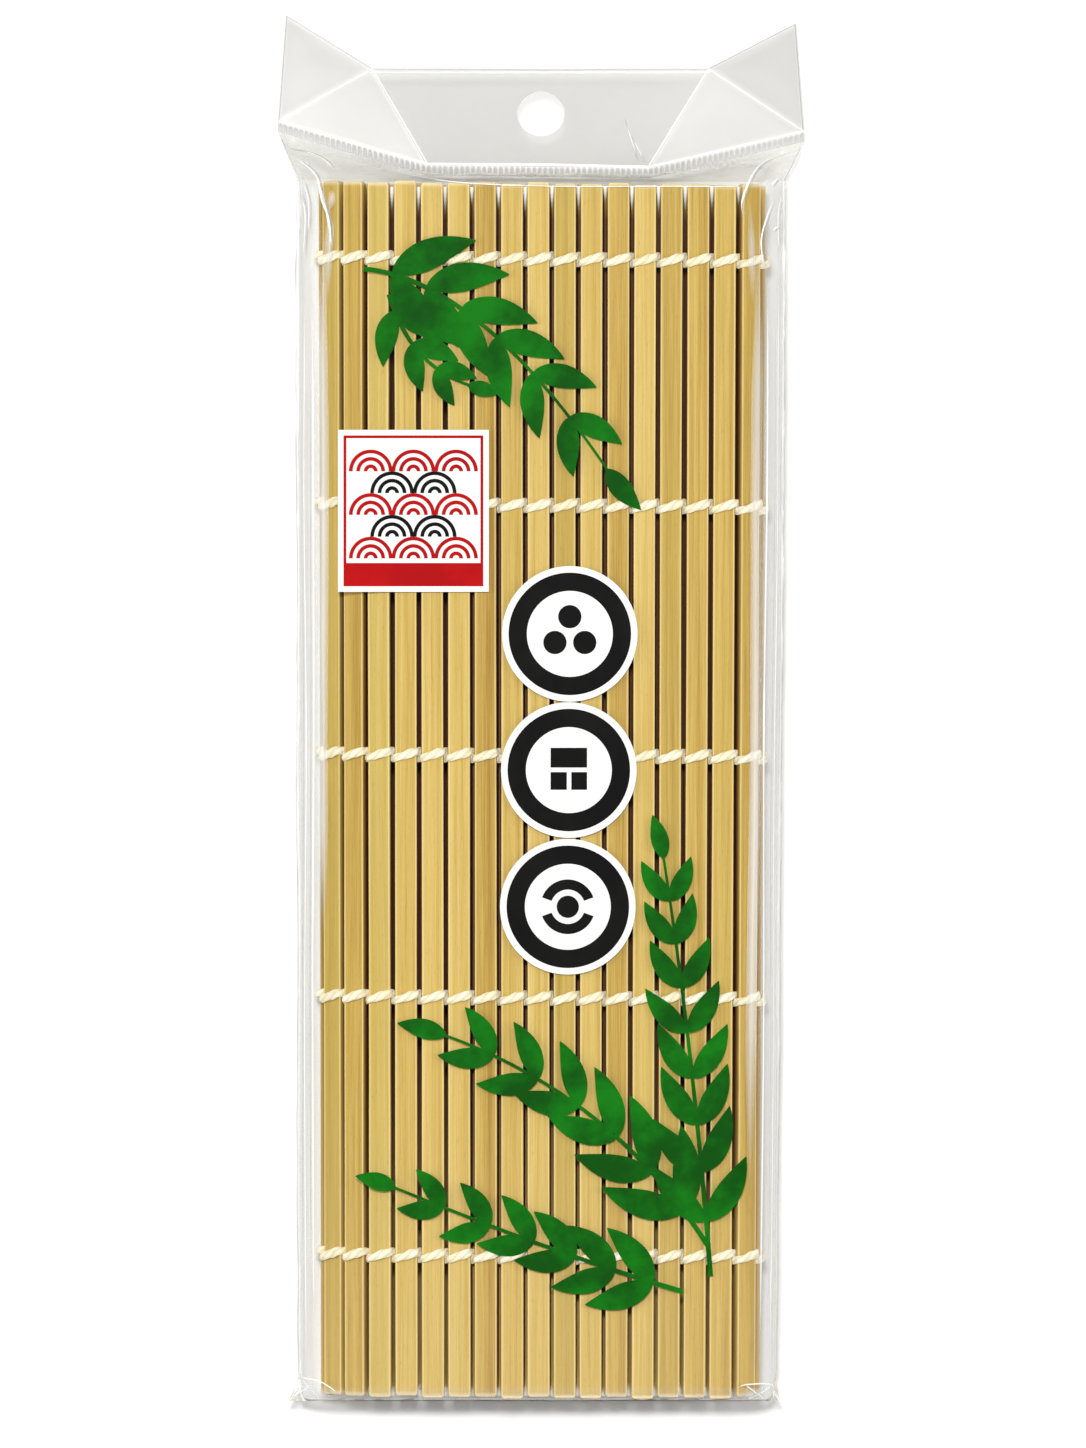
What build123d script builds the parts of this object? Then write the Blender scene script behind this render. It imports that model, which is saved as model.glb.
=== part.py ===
"""Bamboo sushi rolling mat, folded in three inside its clear hanging pouch.

The mat is 45 flat bamboo slats tied side by side by five rows of twined cotton cord.
It lies folded: a back layer, a wide turn at the left, the front layer, a tight turn at
the right, and an inner flap that leans from the tight turn up to the front layer.
Round it stands a clear film pouch, closed at the top by a ribbed seal that carries a
folded header with a hang hole.

Frame: millimetres, +X to the right, +Y towards the header, +Z towards the printed face.
The origin is on the outside of the flat back film, below the middle of the mat.
"""

import math
import os

from build123d import *

os.makedirs("parts", exist_ok=True)

# Slats
slat_count = 45
slat_length = 240.0
slat_width = 4.35
slat_thickness = 1.7
slat_edge_chamfer = 0.3
slat_end_chamfer = 0.5
slat_gap = 0.92
pinch_gap = 0.4  # least distance between the inner edges of two slats at a fold
end_scatter = 0.35  # how far slat ends stand out of line
scatter_step_deg = 137.5

# Folding, as the directions of the slats in turn, in degrees from +X towards +Z
back_count = 14
front_count = 13
wide_turn = (162, 105, 40, 30, 13)
tight_turn = (-34, -92, -162)
inner_count = slat_count - back_count - len(wide_turn) - front_count - len(tight_turn)
layer_clearance = 0.3

# Twined cords
first_row_inset = 15.2  # from the slats' upper ends to the first row
last_row_inset = 27.7  # from the slats' lower ends to the last row
row_shares = (0, 0.247, 0.498, 0.741, 1)  # of the way from the first row to the last
cord_width = 1.7
cord_thickness = 0.8
cord_squeezed = 0.4  # thickness where it is pinched between two slats
cord_clearance = 0.12
sharp_turn = 25  # degrees of bend at which a cord gets a section in mid-slat
twine_clearance = 0.1  # between the two cords of a pair where they cross
knot_length = 3.4
knot_thickness = 2.4
knot_rounding = 0.4
knot_taper = 1.0
knot_clearance = 0.05
tail_length = 4.0
tail_thickness = 0.9
knot_sides = 6

# Pouch
film_thickness = 0.2
pouch_corner_radius = 8.0
foot_chamfer = 0.9
side_room = 2.6  # between the mat and the film at each side
face_room = 0.15
end_room = 0.15
seam_width = 0.8
seam_thickness = 0.3
ear_width = 2.0
ear_height = 4.5
fold_ridge = 0.4

# Seal and header
seal_height = 2.0
seal_thickness = 0.3
rib_pitch = 2.6
rib_depth = 0.3
header_thickness = 0.35
header_tilt = 15.0
header_drop = 0.4  # from the pouch's end to the nearest point of the seal
seal_left = 22.7  # the seal's straight middle stretch, left and right of centre
seal_right = 21.5
seal_slope = 0.6  # how much higher its left end lies than its right one
seal_overhang = 3.96  # of the seal's outer ends beyond the filled pouch's sides
seal_rise_left = 9.3  # of the seal's outer ends beyond its middle
seal_rise_right = 7.3
seal_end_sink = 2.8
header_height = 19.6
crease_left = 33.6
crease_right = 33.4
tip_inset = 1.6  # of the ears' tips inwards from the seal's ends
tip_rise_left = 21.0
tip_rise_right = 21.4
tip_sink = 1.0  # of the ears' tips below the seal's level
hang_hole_radius = 4.5
hang_hole_height = 10.7  # above the seal's middle
film_clearance = 0.15  # between the shoulder, the seal and the header

# Layout of the mat's section
half_slat = slat_thickness / 2
cord_level = half_slat + cord_clearance + cord_thickness / 2
cord_reach = cord_level + cord_thickness / 2
layer_spacing = 2 * cord_reach + layer_clearance
cross_offset = cord_width / 2 + twine_clearance / 2


def heading(direction):
    """Unit vectors along a slat's width and out of its face, in the XZ plane."""
    angle = math.radians(direction)
    along = Vector(math.cos(angle), 0, math.sin(angle))
    return along, Vector(-along.Z, 0, along.X)


def fold_gap(bend):
    """Gap at mid-thickness that leaves the inner edges apart at a hinge line."""
    half = math.radians(bend) / 2
    return max(slat_gap, (pinch_gap + slat_thickness * math.sin(half)) / math.cos(half))


def hinge_lines(directions):
    """Hinge points between slats, with the bend and the gap at each."""
    bends = [0] + [a - b for a, b in zip(directions, directions[1:])] + [0]
    gaps = [fold_gap(bend) for bend in bends]
    points = [Vector(0, 0, 0)]
    for slat, direction in enumerate(directions):
        pitch = slat_width + (gaps[slat] + gaps[slat + 1]) / 2
        points.append(points[-1] + heading(direction)[0] * pitch)
    return points, bends, gaps


outer_directions = [180] * back_count + list(wide_turn) + [0] * front_count
outer_directions += list(tight_turn)
outer_points = hinge_lines(outer_directions)[0]
front_z = outer_points[back_count + len(wide_turn)].Z
flap_rise = front_z - layer_spacing - outer_points[-1].Z
flap_length = inner_count * (slat_width + slat_gap)
flap_lean = math.degrees(math.asin(flap_rise / flap_length))
directions = outer_directions + [-180 - flap_lean] * inner_count
raw_points, bends, gaps = hinge_lines(directions)


def hinge_frame(hinge):
    """Directions along and out of the mat at a hinge line, and its mitre share."""
    before = heading(directions[max(hinge - 1, 0)])
    after = heading(directions[min(hinge, slat_count - 1)])
    along = (before[0] + after[0]).normalized()
    outward = (before[1] + after[1]).normalized()
    return along, outward, math.cos(math.radians(bends[hinge]) / 2)


def cord_points(hinge, point):
    """Outermost places of the cords at a hinge line, on both sides of the mat."""
    along, outward, mitre = hinge_frame(hinge)
    return [point + outward * (side * cord_reach / mitre) for side in (1, -1)]


reach = [p for hinge, point in enumerate(raw_points) for p in cord_points(hinge, point)]
low_x, high_x = min(p.X for p in reach), max(p.X for p in reach)
low_z, high_z = min(p.Z for p in reach), max(p.Z for p in reach)
mat_shift = Vector(-(low_x + high_x) / 2, 0, film_thickness + face_room - low_z)
hinges = [point + mat_shift for point in raw_points]
mat_top = slat_length / 2
row_run = slat_length - first_row_inset - last_row_inset
rows = [mat_top - first_row_inset - share * row_run for share in row_shares]

# Layout of the pouch
half_width = (high_x - low_x) / 2 + side_room + film_thickness
pouch_thickness = high_z - low_z + 2 * (face_room + film_thickness)
middle_z = pouch_thickness / 2
pouch_end = mat_top + end_scatter + end_room + film_thickness


def write(part, name):
    """Labels a finished piece and writes it under its own name."""
    part.label = name
    export_step(part, f"parts/{name}.step")


# Bamboo slats: flat bars with eased edges and clipped end corners
def slat_centre(slat):
    """Middle of a slat's section, between its two hinge lines."""
    along = heading(directions[slat])[0]
    return hinges[slat] + along * ((gaps[slat] + slat_width) / 2)


def make_slat(slat):
    """One slat, in its place in the folded mat."""
    along, outward = heading(directions[slat])
    centre = slat_centre(slat)
    scatter = end_scatter * math.sin(math.radians(scatter_step_deg * slat))
    top = Vector(centre.X, mat_top + scatter, centre.Z)
    with BuildPart() as bar:
        with BuildSketch(Plane(origin=top, x_dir=along, z_dir=(0, -1, 0))) as section:
            Rectangle(slat_width, slat_thickness)
            chamfer(section.vertices(), slat_edge_chamfer)
        extrude(amount=slat_length)
        ends = bar.edges().filter_by(Axis(centre, outward))
        chamfer(ends, slat_end_chamfer)
    return bar.part


for slat in range(slat_count):
    write(make_slat(slat), f"slat_{slat + 1:02d}")


# Twined cords: two in each row, which change sides between one slat and the next
def cord_centre(hinge, side):
    """Where a cord turns at a hinge line, on one side of the mat."""
    outward, mitre = hinge_frame(hinge)[1:]
    return hinges[hinge] + outward * (side * cord_level / mitre)


def cord_section(slat, side, place):
    """Plane and outline of a cord on a slat: at its start, -1, middle, 0, or end, 1."""
    ends = [cord_centre(slat + step, side) for step in (0, 1)]
    if place == 0:
        centre = (ends[0] + ends[1]) / 2
        diagonal = heading(directions[slat])[1] * (cord_thickness / 2)
    else:
        hinge = slat + (place + 1) // 2
        along, outward, mitre = hinge_frame(hinge)
        centre = ends[(place + 1) // 2] + Vector(0, place * side * cross_offset, 0)
        diagonal = outward * (cord_thickness / 2 / mitre)
        diagonal += along * (place * side * cord_squeezed / 2)
    plane = Plane(origin=centre, x_dir=(0, 1, 0), z_dir=Vector(0, 1, 0).cross(diagonal))
    edge = cord_width / 2
    crest = diagonal.length
    return plane, [(-edge, 0), (0, -crest), (edge, 0), (0, crest)]


def make_cord(side):
    """One cord of a pair, laid over and under the slats in turn from a given side."""
    sections = []
    breaks = []
    for slat in range(slat_count):
        turning = abs(bends[slat]) + abs(bends[slat + 1]) > sharp_turn
        for place in (-1, 0, 1) if turning else (-1, 1):
            plane, outline = cord_section(slat, side, place)
            with BuildSketch(plane) as section:
                Polygon(*outline, align=None)
            if turning:
                breaks.append(len(sections))
            sections.append(section.sketch.face())
        side = -side
    breaks.append(len(sections) - 1)
    starts = [0, *breaks[:-1]]
    runs = [loft(sections[a : b + 1], ruled=True) for a, b in zip(starts, breaks)]
    with BuildPart() as cord:
        add(runs)
    return cord.part


def make_knot(hinge, outgoing):
    """Knot that ties a row's two cords together at the mat's edge, with its tail."""
    away = hinge_frame(hinge)[0] * outgoing
    centre = hinges[hinge] + away * (
        cord_squeezed / 2 + knot_clearance + knot_thickness / 2
    )
    end = centre + Vector(0, knot_length / 2, 0)
    with BuildPart() as knot:
        with BuildSketch(Plane(origin=end, z_dir=(0, -1, 0))):
            RegularPolygon(knot_thickness / 2, knot_sides)
        extrude(amount=knot_length)
        ends = knot.faces().sort_by(Axis.Y)
        chamfer(ends[0].edges() + ends[-1].edges(), knot_taper, knot_rounding)
        with BuildSketch(Plane(origin=end, z_dir=(0, 1, 0))):
            RegularPolygon(tail_thickness / 2, knot_sides)
        extrude(amount=tail_length)
    return knot.part


row_solids = [make_cord(1), make_cord(-1), make_knot(0, -1), make_knot(slat_count, 1)]
for row, height in enumerate(rows):
    placed = [solid.moved(Location((0, height, 0))) for solid in row_solids]
    write(Compound(children=placed), f"cord_row_{row + 1}")


# Pouch body: a rounded film tube, closed at the foot, in a front and a back half
with BuildPart() as tube:
    mouth_plane = Plane(origin=(0, pouch_end, middle_z), x_dir=(1, 0, 0), z_dir=(0, -1, 0))
    with BuildSketch(mouth_plane):
        RectangleRounded(2 * half_width, pouch_thickness, pouch_corner_radius)
    extrude(amount=2 * pouch_end)
    foot = tube.faces().sort_by(Axis.Y)[0]
    chamfer(foot.edges(), foot_chamfer)
    mouth = tube.faces().sort_by(Axis.Y)[-1]
    offset(amount=-film_thickness, openings=mouth)

with BuildPart() as pouch_front:
    add(tube.part)
    split(bisect_by=Plane.XY.offset(middle_z), keep=Keep.TOP)
write(pouch_front.part, "pouch_front")

with BuildPart() as pouch_back:
    add(tube.part)
    split(bisect_by=Plane.XY.offset(middle_z), keep=Keep.BOTTOM)
write(pouch_back.part, "pouch_back")

# Side welds and the fold across the foot, with its two small ears
seam_run = 2 * pouch_end - ear_height - foot_chamfer
for side, name in ((-1, "side_seam_left"), (1, "side_seam_right")):
    with BuildPart() as seam:
        with BuildSketch(Plane.XY.offset(middle_z)):
            with Locations((side * (half_width + seam_width / 2), pouch_end - seam_run / 2)):
                Rectangle(seam_width, seam_run)
        extrude(amount=seam_thickness / 2, both=True)
    write(seam.part, name)

with BuildPart() as bottom_fold:
    with BuildSketch(Plane.XY.offset(middle_z)):
        with BuildLine():
            Polyline(
                (-half_width, ear_height - pouch_end),
                (-half_width - ear_width, -pouch_end),
                (-half_width, -pouch_end - fold_ridge),
                (half_width, -pouch_end - fold_ridge),
                (half_width + ear_width, -pouch_end),
                (half_width, ear_height - pouch_end),
                (half_width, -pouch_end),
                (-half_width, -pouch_end),
                close=True,
            )
        make_face()
    extrude(amount=seam_thickness / 2, both=True)
write(bottom_fold.part, "bottom_fold")

# Points of the seal and the header
tilt = math.radians(header_tilt)
up_header = Vector(0, math.cos(tilt), math.sin(tilt))
seal_foot_y = pouch_end + header_drop
seal_y = seal_foot_y + seal_height
seal_half_width = half_width + seal_overhang
middle_left = Vector(-seal_left, seal_y + seal_slope, middle_z)
middle_right = Vector(seal_right, seal_y, middle_z)
end_left = Vector(-seal_half_width, seal_y + seal_rise_left, middle_z - seal_end_sink)
end_right = Vector(seal_half_width, seal_y + seal_rise_right, middle_z - seal_end_sink)


def on_header(x, height):
    """A point of the header's flat middle panel, at a height above the seal's middle."""
    share = (x - middle_left.X) / (middle_right.X - middle_left.X)
    foot = middle_left + (middle_right - middle_left) * share
    level = seal_y + height - foot.Y
    return foot + Vector(0, level, level * math.tan(tilt))


crease_top_left = on_header(-crease_left, header_height)
crease_top_right = on_header(crease_right, header_height)
tip_left = end_left + Vector(tip_inset, tip_rise_left, tip_sink)
tip_right = end_right + Vector(-tip_inset, tip_rise_right, tip_sink)
seal_fall = up_header * -seal_height
header_lift = up_header * film_clearance


def film_facet(corners, thickness):
    """A flat piece of film with the given corners, to go in the part being built."""
    first, second, last = corners[0], corners[1], corners[-1]
    normal = (second - first).cross(last - first)
    plane = Plane(origin=first, x_dir=second - first, z_dir=normal)
    local = [plane.to_local_coords(corner) for corner in corners]
    with BuildSketch(plane) as facet:
        Polygon(*[(point.X, point.Y) for point in local], align=None)
    extrude(facet.sketch, amount=thickness / 2, both=True)


# Header: a middle panel with the hang hole, and two folded ears
foot_ends = (end_left, middle_left, middle_right, end_right)
outer_left, inner_left, inner_right, outer_right = [end + header_lift for end in foot_ends]
panel = [inner_left, inner_right, crease_top_right, crease_top_left]
ears = [
    [outer_left, inner_left, crease_top_left],
    [outer_left, crease_top_left, tip_left],
    [inner_right, outer_right, crease_top_right],
    [outer_right, tip_right, crease_top_right],
]
hole_centre = on_header(0, hang_hole_height)
panel_normal = (middle_right - middle_left).cross(crease_top_right - middle_left)
with BuildPart() as header:
    for corners in [panel, *ears]:
        film_facet(corners, header_thickness)
    with BuildSketch(Plane(origin=hole_centre, z_dir=panel_normal)):
        Circle(hang_hole_radius)
    extrude(amount=header_thickness, both=True, mode=Mode.SUBTRACT)
write(header.part, "header")


# Ribbed seal: corrugated film in three straight stretches
def seal_stretch(start, finish):
    """One corrugated stretch of the seal, to go in the part being built."""
    run = finish - start
    normal = run.cross(up_header).normalized()
    ribs = round(run.length / rib_pitch)
    step = run.length / ribs / 2
    wave = [(index * step, rib_depth / 2 * (-1) ** index) for index in range(2 * ribs + 1)]
    upper = [(x, y + seal_thickness / 2) for x, y in wave]
    lower = [(x, y - seal_thickness / 2) for x, y in wave]
    with BuildSketch(Plane(origin=start, x_dir=run, z_dir=run.cross(normal))) as wall:
        Polygon(*upper, *reversed(lower), align=None)
    extrude(wall.sketch, amount=seal_height, dir=seal_fall)


with BuildPart() as seal:
    for start, finish in (
        (end_left, middle_left),
        (middle_left, middle_right),
        (middle_right, end_right),
    ):
        seal_stretch(start, finish)
write(seal.part, "seal_band")

# Shoulder: loose film between the tube's mouth and the seal
mouth_y = pouch_end + film_clearance
flat_half = half_width - pouch_corner_radius
arc_half = half_width - pouch_corner_radius * (1 - math.cos(math.pi / 4))
seal_feet = [end - up_header * (seal_height + 2 * film_clearance) for end in foot_ends]
with BuildPart() as shoulder:
    for face in (1, -1):
        level = middle_z - film_thickness / 2
        arc_level = level - pouch_corner_radius * (1 - math.cos(math.pi / 4))
        flat_level = level - pouch_corner_radius
        rim = [
            Vector(x, mouth_y, middle_z + face * z)
            for x, z in (
                (half_width, 0),
                (half_width, flat_level),
                (arc_half, arc_level),
                (flat_half, level),
            )
        ]
        mirrored = [Vector(-point.X, point.Y, point.Z) for point in rim]
        for points, foot in ((mirrored, seal_feet[0]), (rim, seal_feet[3])):
            for near, far in zip(points, points[1:]):
                film_facet([near, far, foot], film_thickness)
        film_facet([mirrored[3], seal_feet[1], seal_feet[0]], film_thickness)
        film_facet([rim[3], seal_feet[2], seal_feet[3]], film_thickness)
        film_facet([mirrored[3], rim[3], seal_feet[1]], film_thickness)
        film_facet([rim[3], seal_feet[2], seal_feet[1]], film_thickness)
write(shoulder.part, "pouch_shoulder")

print("mat", round(high_x - low_x, 2), "x", round(high_z - low_z, 2))
print("pouch", round(2 * half_width, 2), "x", round(pouch_thickness, 2), "end", pouch_end)
print("flap lean", round(flap_lean, 2), "front slats", back_count + len(wide_turn) + 1)
print("rows", [round(y, 2) for y in rows])
print("hole", [round(c, 3) for c in hole_centre])
print("panel normal", [round(c, 4) for c in panel_normal.normalized()])
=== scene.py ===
"""Bamboo sushi rolling mat in its clear hanging pouch, dressed for the render.

Lengths are millimetres in the frame of the CAD model: +X to the right, +Y towards the
header, +Z towards the printed face. mesh_piece() turns them into Blender's metres.
"""

import math

import bpy
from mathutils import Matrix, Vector, noise
from mathutils.bvhtree import BVHTree


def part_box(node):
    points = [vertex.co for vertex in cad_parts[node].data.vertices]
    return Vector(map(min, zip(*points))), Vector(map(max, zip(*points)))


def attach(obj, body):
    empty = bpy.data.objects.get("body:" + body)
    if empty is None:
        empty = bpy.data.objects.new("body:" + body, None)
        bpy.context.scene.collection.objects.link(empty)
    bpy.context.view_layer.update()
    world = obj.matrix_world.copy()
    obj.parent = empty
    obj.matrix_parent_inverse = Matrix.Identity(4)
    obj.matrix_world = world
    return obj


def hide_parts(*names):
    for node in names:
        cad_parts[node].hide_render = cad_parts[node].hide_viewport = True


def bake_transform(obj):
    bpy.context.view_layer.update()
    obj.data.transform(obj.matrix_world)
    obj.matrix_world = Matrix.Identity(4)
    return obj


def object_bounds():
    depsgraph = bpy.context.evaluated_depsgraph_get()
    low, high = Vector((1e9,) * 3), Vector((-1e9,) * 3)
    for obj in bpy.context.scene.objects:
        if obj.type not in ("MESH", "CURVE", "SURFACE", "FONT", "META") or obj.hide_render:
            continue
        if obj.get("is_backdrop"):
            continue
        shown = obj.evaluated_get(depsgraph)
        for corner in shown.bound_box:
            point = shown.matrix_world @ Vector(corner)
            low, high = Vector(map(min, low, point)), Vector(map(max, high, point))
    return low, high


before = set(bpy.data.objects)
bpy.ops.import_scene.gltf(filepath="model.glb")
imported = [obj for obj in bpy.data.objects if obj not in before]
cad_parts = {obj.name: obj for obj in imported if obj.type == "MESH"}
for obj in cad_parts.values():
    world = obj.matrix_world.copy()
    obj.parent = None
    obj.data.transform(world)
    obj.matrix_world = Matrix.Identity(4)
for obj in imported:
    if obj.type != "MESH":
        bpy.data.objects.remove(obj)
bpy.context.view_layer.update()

mm = 0.001

# Slats and rows of cord, as the CAD model has them
slat_count = 45
slat_width = 4.35
slat_thickness = 1.7
slat_gap = 0.92
back_count = 14
front_count = 13
wide_turn = (162, 105, 40, 30, 13)
tight_turn = (-34, -92, -162)
row_count = 5

# Slats, as they look
edge_rounding = 0.26
end_rounding = 0.75
end_easing = 0.28
face_crown = 0.07
width_play_share = 0.022
bow_play = 0.1
slat_full_width = 1.012
slat_waist = 0.02
foot_widening = 0.03
back_lift = 1.0
foot_draw_left = 0.5
foot_draw_right = 1.2
mat_lean = 0.009
slat_stations = 26
far_from_end = 9
tone_middle = 0.48
tone_spread = 0.36
# Shares of painted shade on faces inside the fold, of the painted edge highlight on slats behind the
# front, and of painted side shade on slats in the turns
inner_face_shade = 0.98
hidden_edge_highlight = 0.15
turned_side_shade = 0.3

# Cords
strand_level = 1.36
strand_cross = 0.76
strand_half_width = 0.88
row_foot = 1.9
strand_half_thickness = 0.52
strand_pinched = 0.27
ply_count = 3
ply_pitch = 2.5
ply_depth_share = 0.16
strand_sides = 20
knot_turn_radius = 0.62
knot_strand_radius = 0.5
knot_half_height = 1.35
knot_reach = 1.35
knot_turns = 2.5
tail_length = 3.6
tail_radius = 0.42

# Print
ink_cover = 0.996
strip_layer = 0.08
print_lift = 0.02
print_layer = 0.011

# Pouch
film_corner = 8.0
film_inset = 0.12
side_fold_depth = 0.4
corner_fold_depth = 1.0
right_ear_trim = 1.1
pouch_draw_left = 0.3
pouch_draw_right = 1.9
face_ripple = 0.06
body_steps = 110
foot_turn = 3
foot_steps = ((2.1, 0.25, 0.1), (1.2, 0.8, 0.3), (0.5, 1.7, 0.7), (0.15, 2.9, 1.4))
seam_steps = 120
seam_width = 0.62
seam_play = 0.18
fold_steps = 160
ear_rows = 24
ear_columns = 20
shoulder_steps = 16
shoulder_belly = 0.9
shoulder_ruck = 0.8

# Seal and header, as the CAD model has them
seal_height = 2.0
seal_left = 22.7
seal_right = 21.5
seal_slope = 0.6
seal_foot_y = 121.1
seal_half_width = 52.2
seal_rise_left = 9.3
seal_rise_right = 7.3
seal_end_sink = 2.8
film_clearance = 0.15
header_tilt = 15.0
header_height = 19.6
crease_left = 33.6
crease_right = 33.4
tip_inset = 1.6
tip_rise_left = 21.0
tip_rise_right = 21.4
tip_sink = 1.0
hole_radius = 4.5
hole_height = 10.7
rib_pitch = 1.1
rib_depth = 0.26
rib_steps = 8
seal_rows = 7


def box_mm(node):
    """Lowest and highest corner of a CAD node, in millimetres."""
    low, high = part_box(node)
    return Vector(low) / mm, Vector(high) / mm


def scatter(index, salt):
    """A steady number from 0 to 1 for each pair of whole numbers."""
    value = math.sin(index * 12.9898 + salt * 78.233) * 43758.5453
    return value - math.floor(value)


def wander(x, y, z=0.0):
    """Smooth noise of about -1 to 1 over a place."""
    return noise.noise(Vector((x, y, z)))


def smooth(value, start, end):
    """0 before start and 1 after end, with a smooth rise between."""
    share = min(1.0, max(0.0, (value - start) / (end - start)))
    return share * share * (3 - 2 * share)


def grid_faces(rows, columns, closed=False, first=0):
    """Quads of a grid of points, row by row; closed joins each row's ends."""
    faces = []
    for row in range(rows - 1):
        for column in range(columns if closed else columns - 1):
            a = first + row * columns + column
            b = first + row * columns + (column + 1) % columns
            faces.append((a, b, b + columns, a + columns))
    return faces


def mesh_piece(name, points, faces, material, body, replaced=(), marks=None):
    """A smooth mesh in the frame; marks are named values for its points."""
    mesh = bpy.data.meshes.new(name)
    mesh.from_pydata([Vector(point) * mm for point in points], [], faces)
    mesh.update()
    mesh.shade_smooth()
    for mark, values in (marks or {}).items():
        if isinstance(values[0], (int, float)):
            layer = mesh.attributes.new(mark, "FLOAT", "POINT")
            layer.data.foreach_set("value", values)
        else:
            layer = mesh.attributes.new(mark, "FLOAT_VECTOR", "POINT")
            layer.data.foreach_set("vector", [c for value in values for c in value])
    mesh.materials.append(material)
    piece = bpy.data.objects.new(name, mesh)
    bpy.context.scene.collection.objects.link(piece)
    if body:
        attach(piece, body)
    if replaced:
        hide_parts(*replaced)
    return piece


# Materials
def srgb(red, green, blue):
    """A colour given as it looks on a screen, 0 to 255, for a shader's socket."""
    linear = []
    for value in (red, green, blue):
        share = value / 255
        linear.append(share / 12.92 if share <= 0.04045 else ((share + 0.055) / 1.055) ** 2.4)
    return (*linear, 1.0)


class Nodes:
    """The node tree of a material or the world, with short calls for the nodes used here."""

    def __init__(self, owner):
        self.owner = owner
        owner.use_nodes = True
        self.tree = owner.node_tree
        self.tree.nodes.clear()

    def add(self, kind, inputs=None, **settings):
        """A node with its settings; an input is a number, a colour or another's socket."""
        node = self.tree.nodes.new(kind)
        for key, value in settings.items():
            setattr(node, key, value)
        for key, value in (inputs or {}).items():
            if isinstance(value, bpy.types.NodeSocket):
                self.tree.links.new(value, node.inputs[key])
            else:
                node.inputs[key].default_value = value
        return node

    def math(self, operation, *values, clamp=False):
        """A sum, product or the like of numbers or sockets."""
        inputs = dict(enumerate(values))
        return self.add("ShaderNodeMath", inputs, operation=operation, use_clamp=clamp).outputs[0]

    def ramp(self, value, low, high):
        """0 at low and 1 at high, clamped and smooth."""
        node = self.add("ShaderNodeMapRange", {0: value, 1: low, 2: high})
        node.interpolation_type = "SMOOTHSTEP"
        return node.outputs[0]

    def mix(self, share, a, b):
        """Colour a with a share of colour b in it."""
        return self.add("ShaderNodeMix", {0: share, 6: a, 7: b}, data_type="RGBA").outputs[2]

    def tint(self, colour, share, strength, over):
        """A colour with another over it, by a share times a strength."""
        return self.mix(self.math("MULTIPLY", share, strength), colour, over)

    def mark(self, name, output="Fac"):
        """A named value of the mesh's points."""
        return self.add("ShaderNodeAttribute", attribute_name=name).outputs[output]

    def noise(self, vector, stretch, detail, rough):
        """Noise over a vector, stretched by a scale for each axis."""
        mapped = self.add("ShaderNodeMapping", {"Vector": vector, "Scale": stretch})
        inputs = {"Vector": mapped.outputs[0], "Scale": 1.0, "Detail": detail, "Roughness": rough}
        return self.add("ShaderNodeTexNoise", inputs).outputs[0]

    def place(self):
        """The place on a piece in its own axes, in metres."""
        return self.add("ShaderNodeTexCoord").outputs["Object"]

    def bump(self, height, strength, distance):
        inputs = {"Height": height, "Strength": strength, "Distance": distance}
        return self.add("ShaderNodeBump", inputs).outputs[0]

    def shader(self, kind, **inputs):
        named = {key.replace("_", " "): value for key, value in inputs.items()}
        return self.add(kind, named).outputs[0]

    def blend_shaders(self, share, a, b):
        return self.add("ShaderNodeMixShader", {0: share, 1: a, 2: b}).outputs[0]

    def finish(self, surface):
        """The material, with its surface."""
        self.add("ShaderNodeOutputMaterial", {"Surface": surface})
        return self.owner


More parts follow.
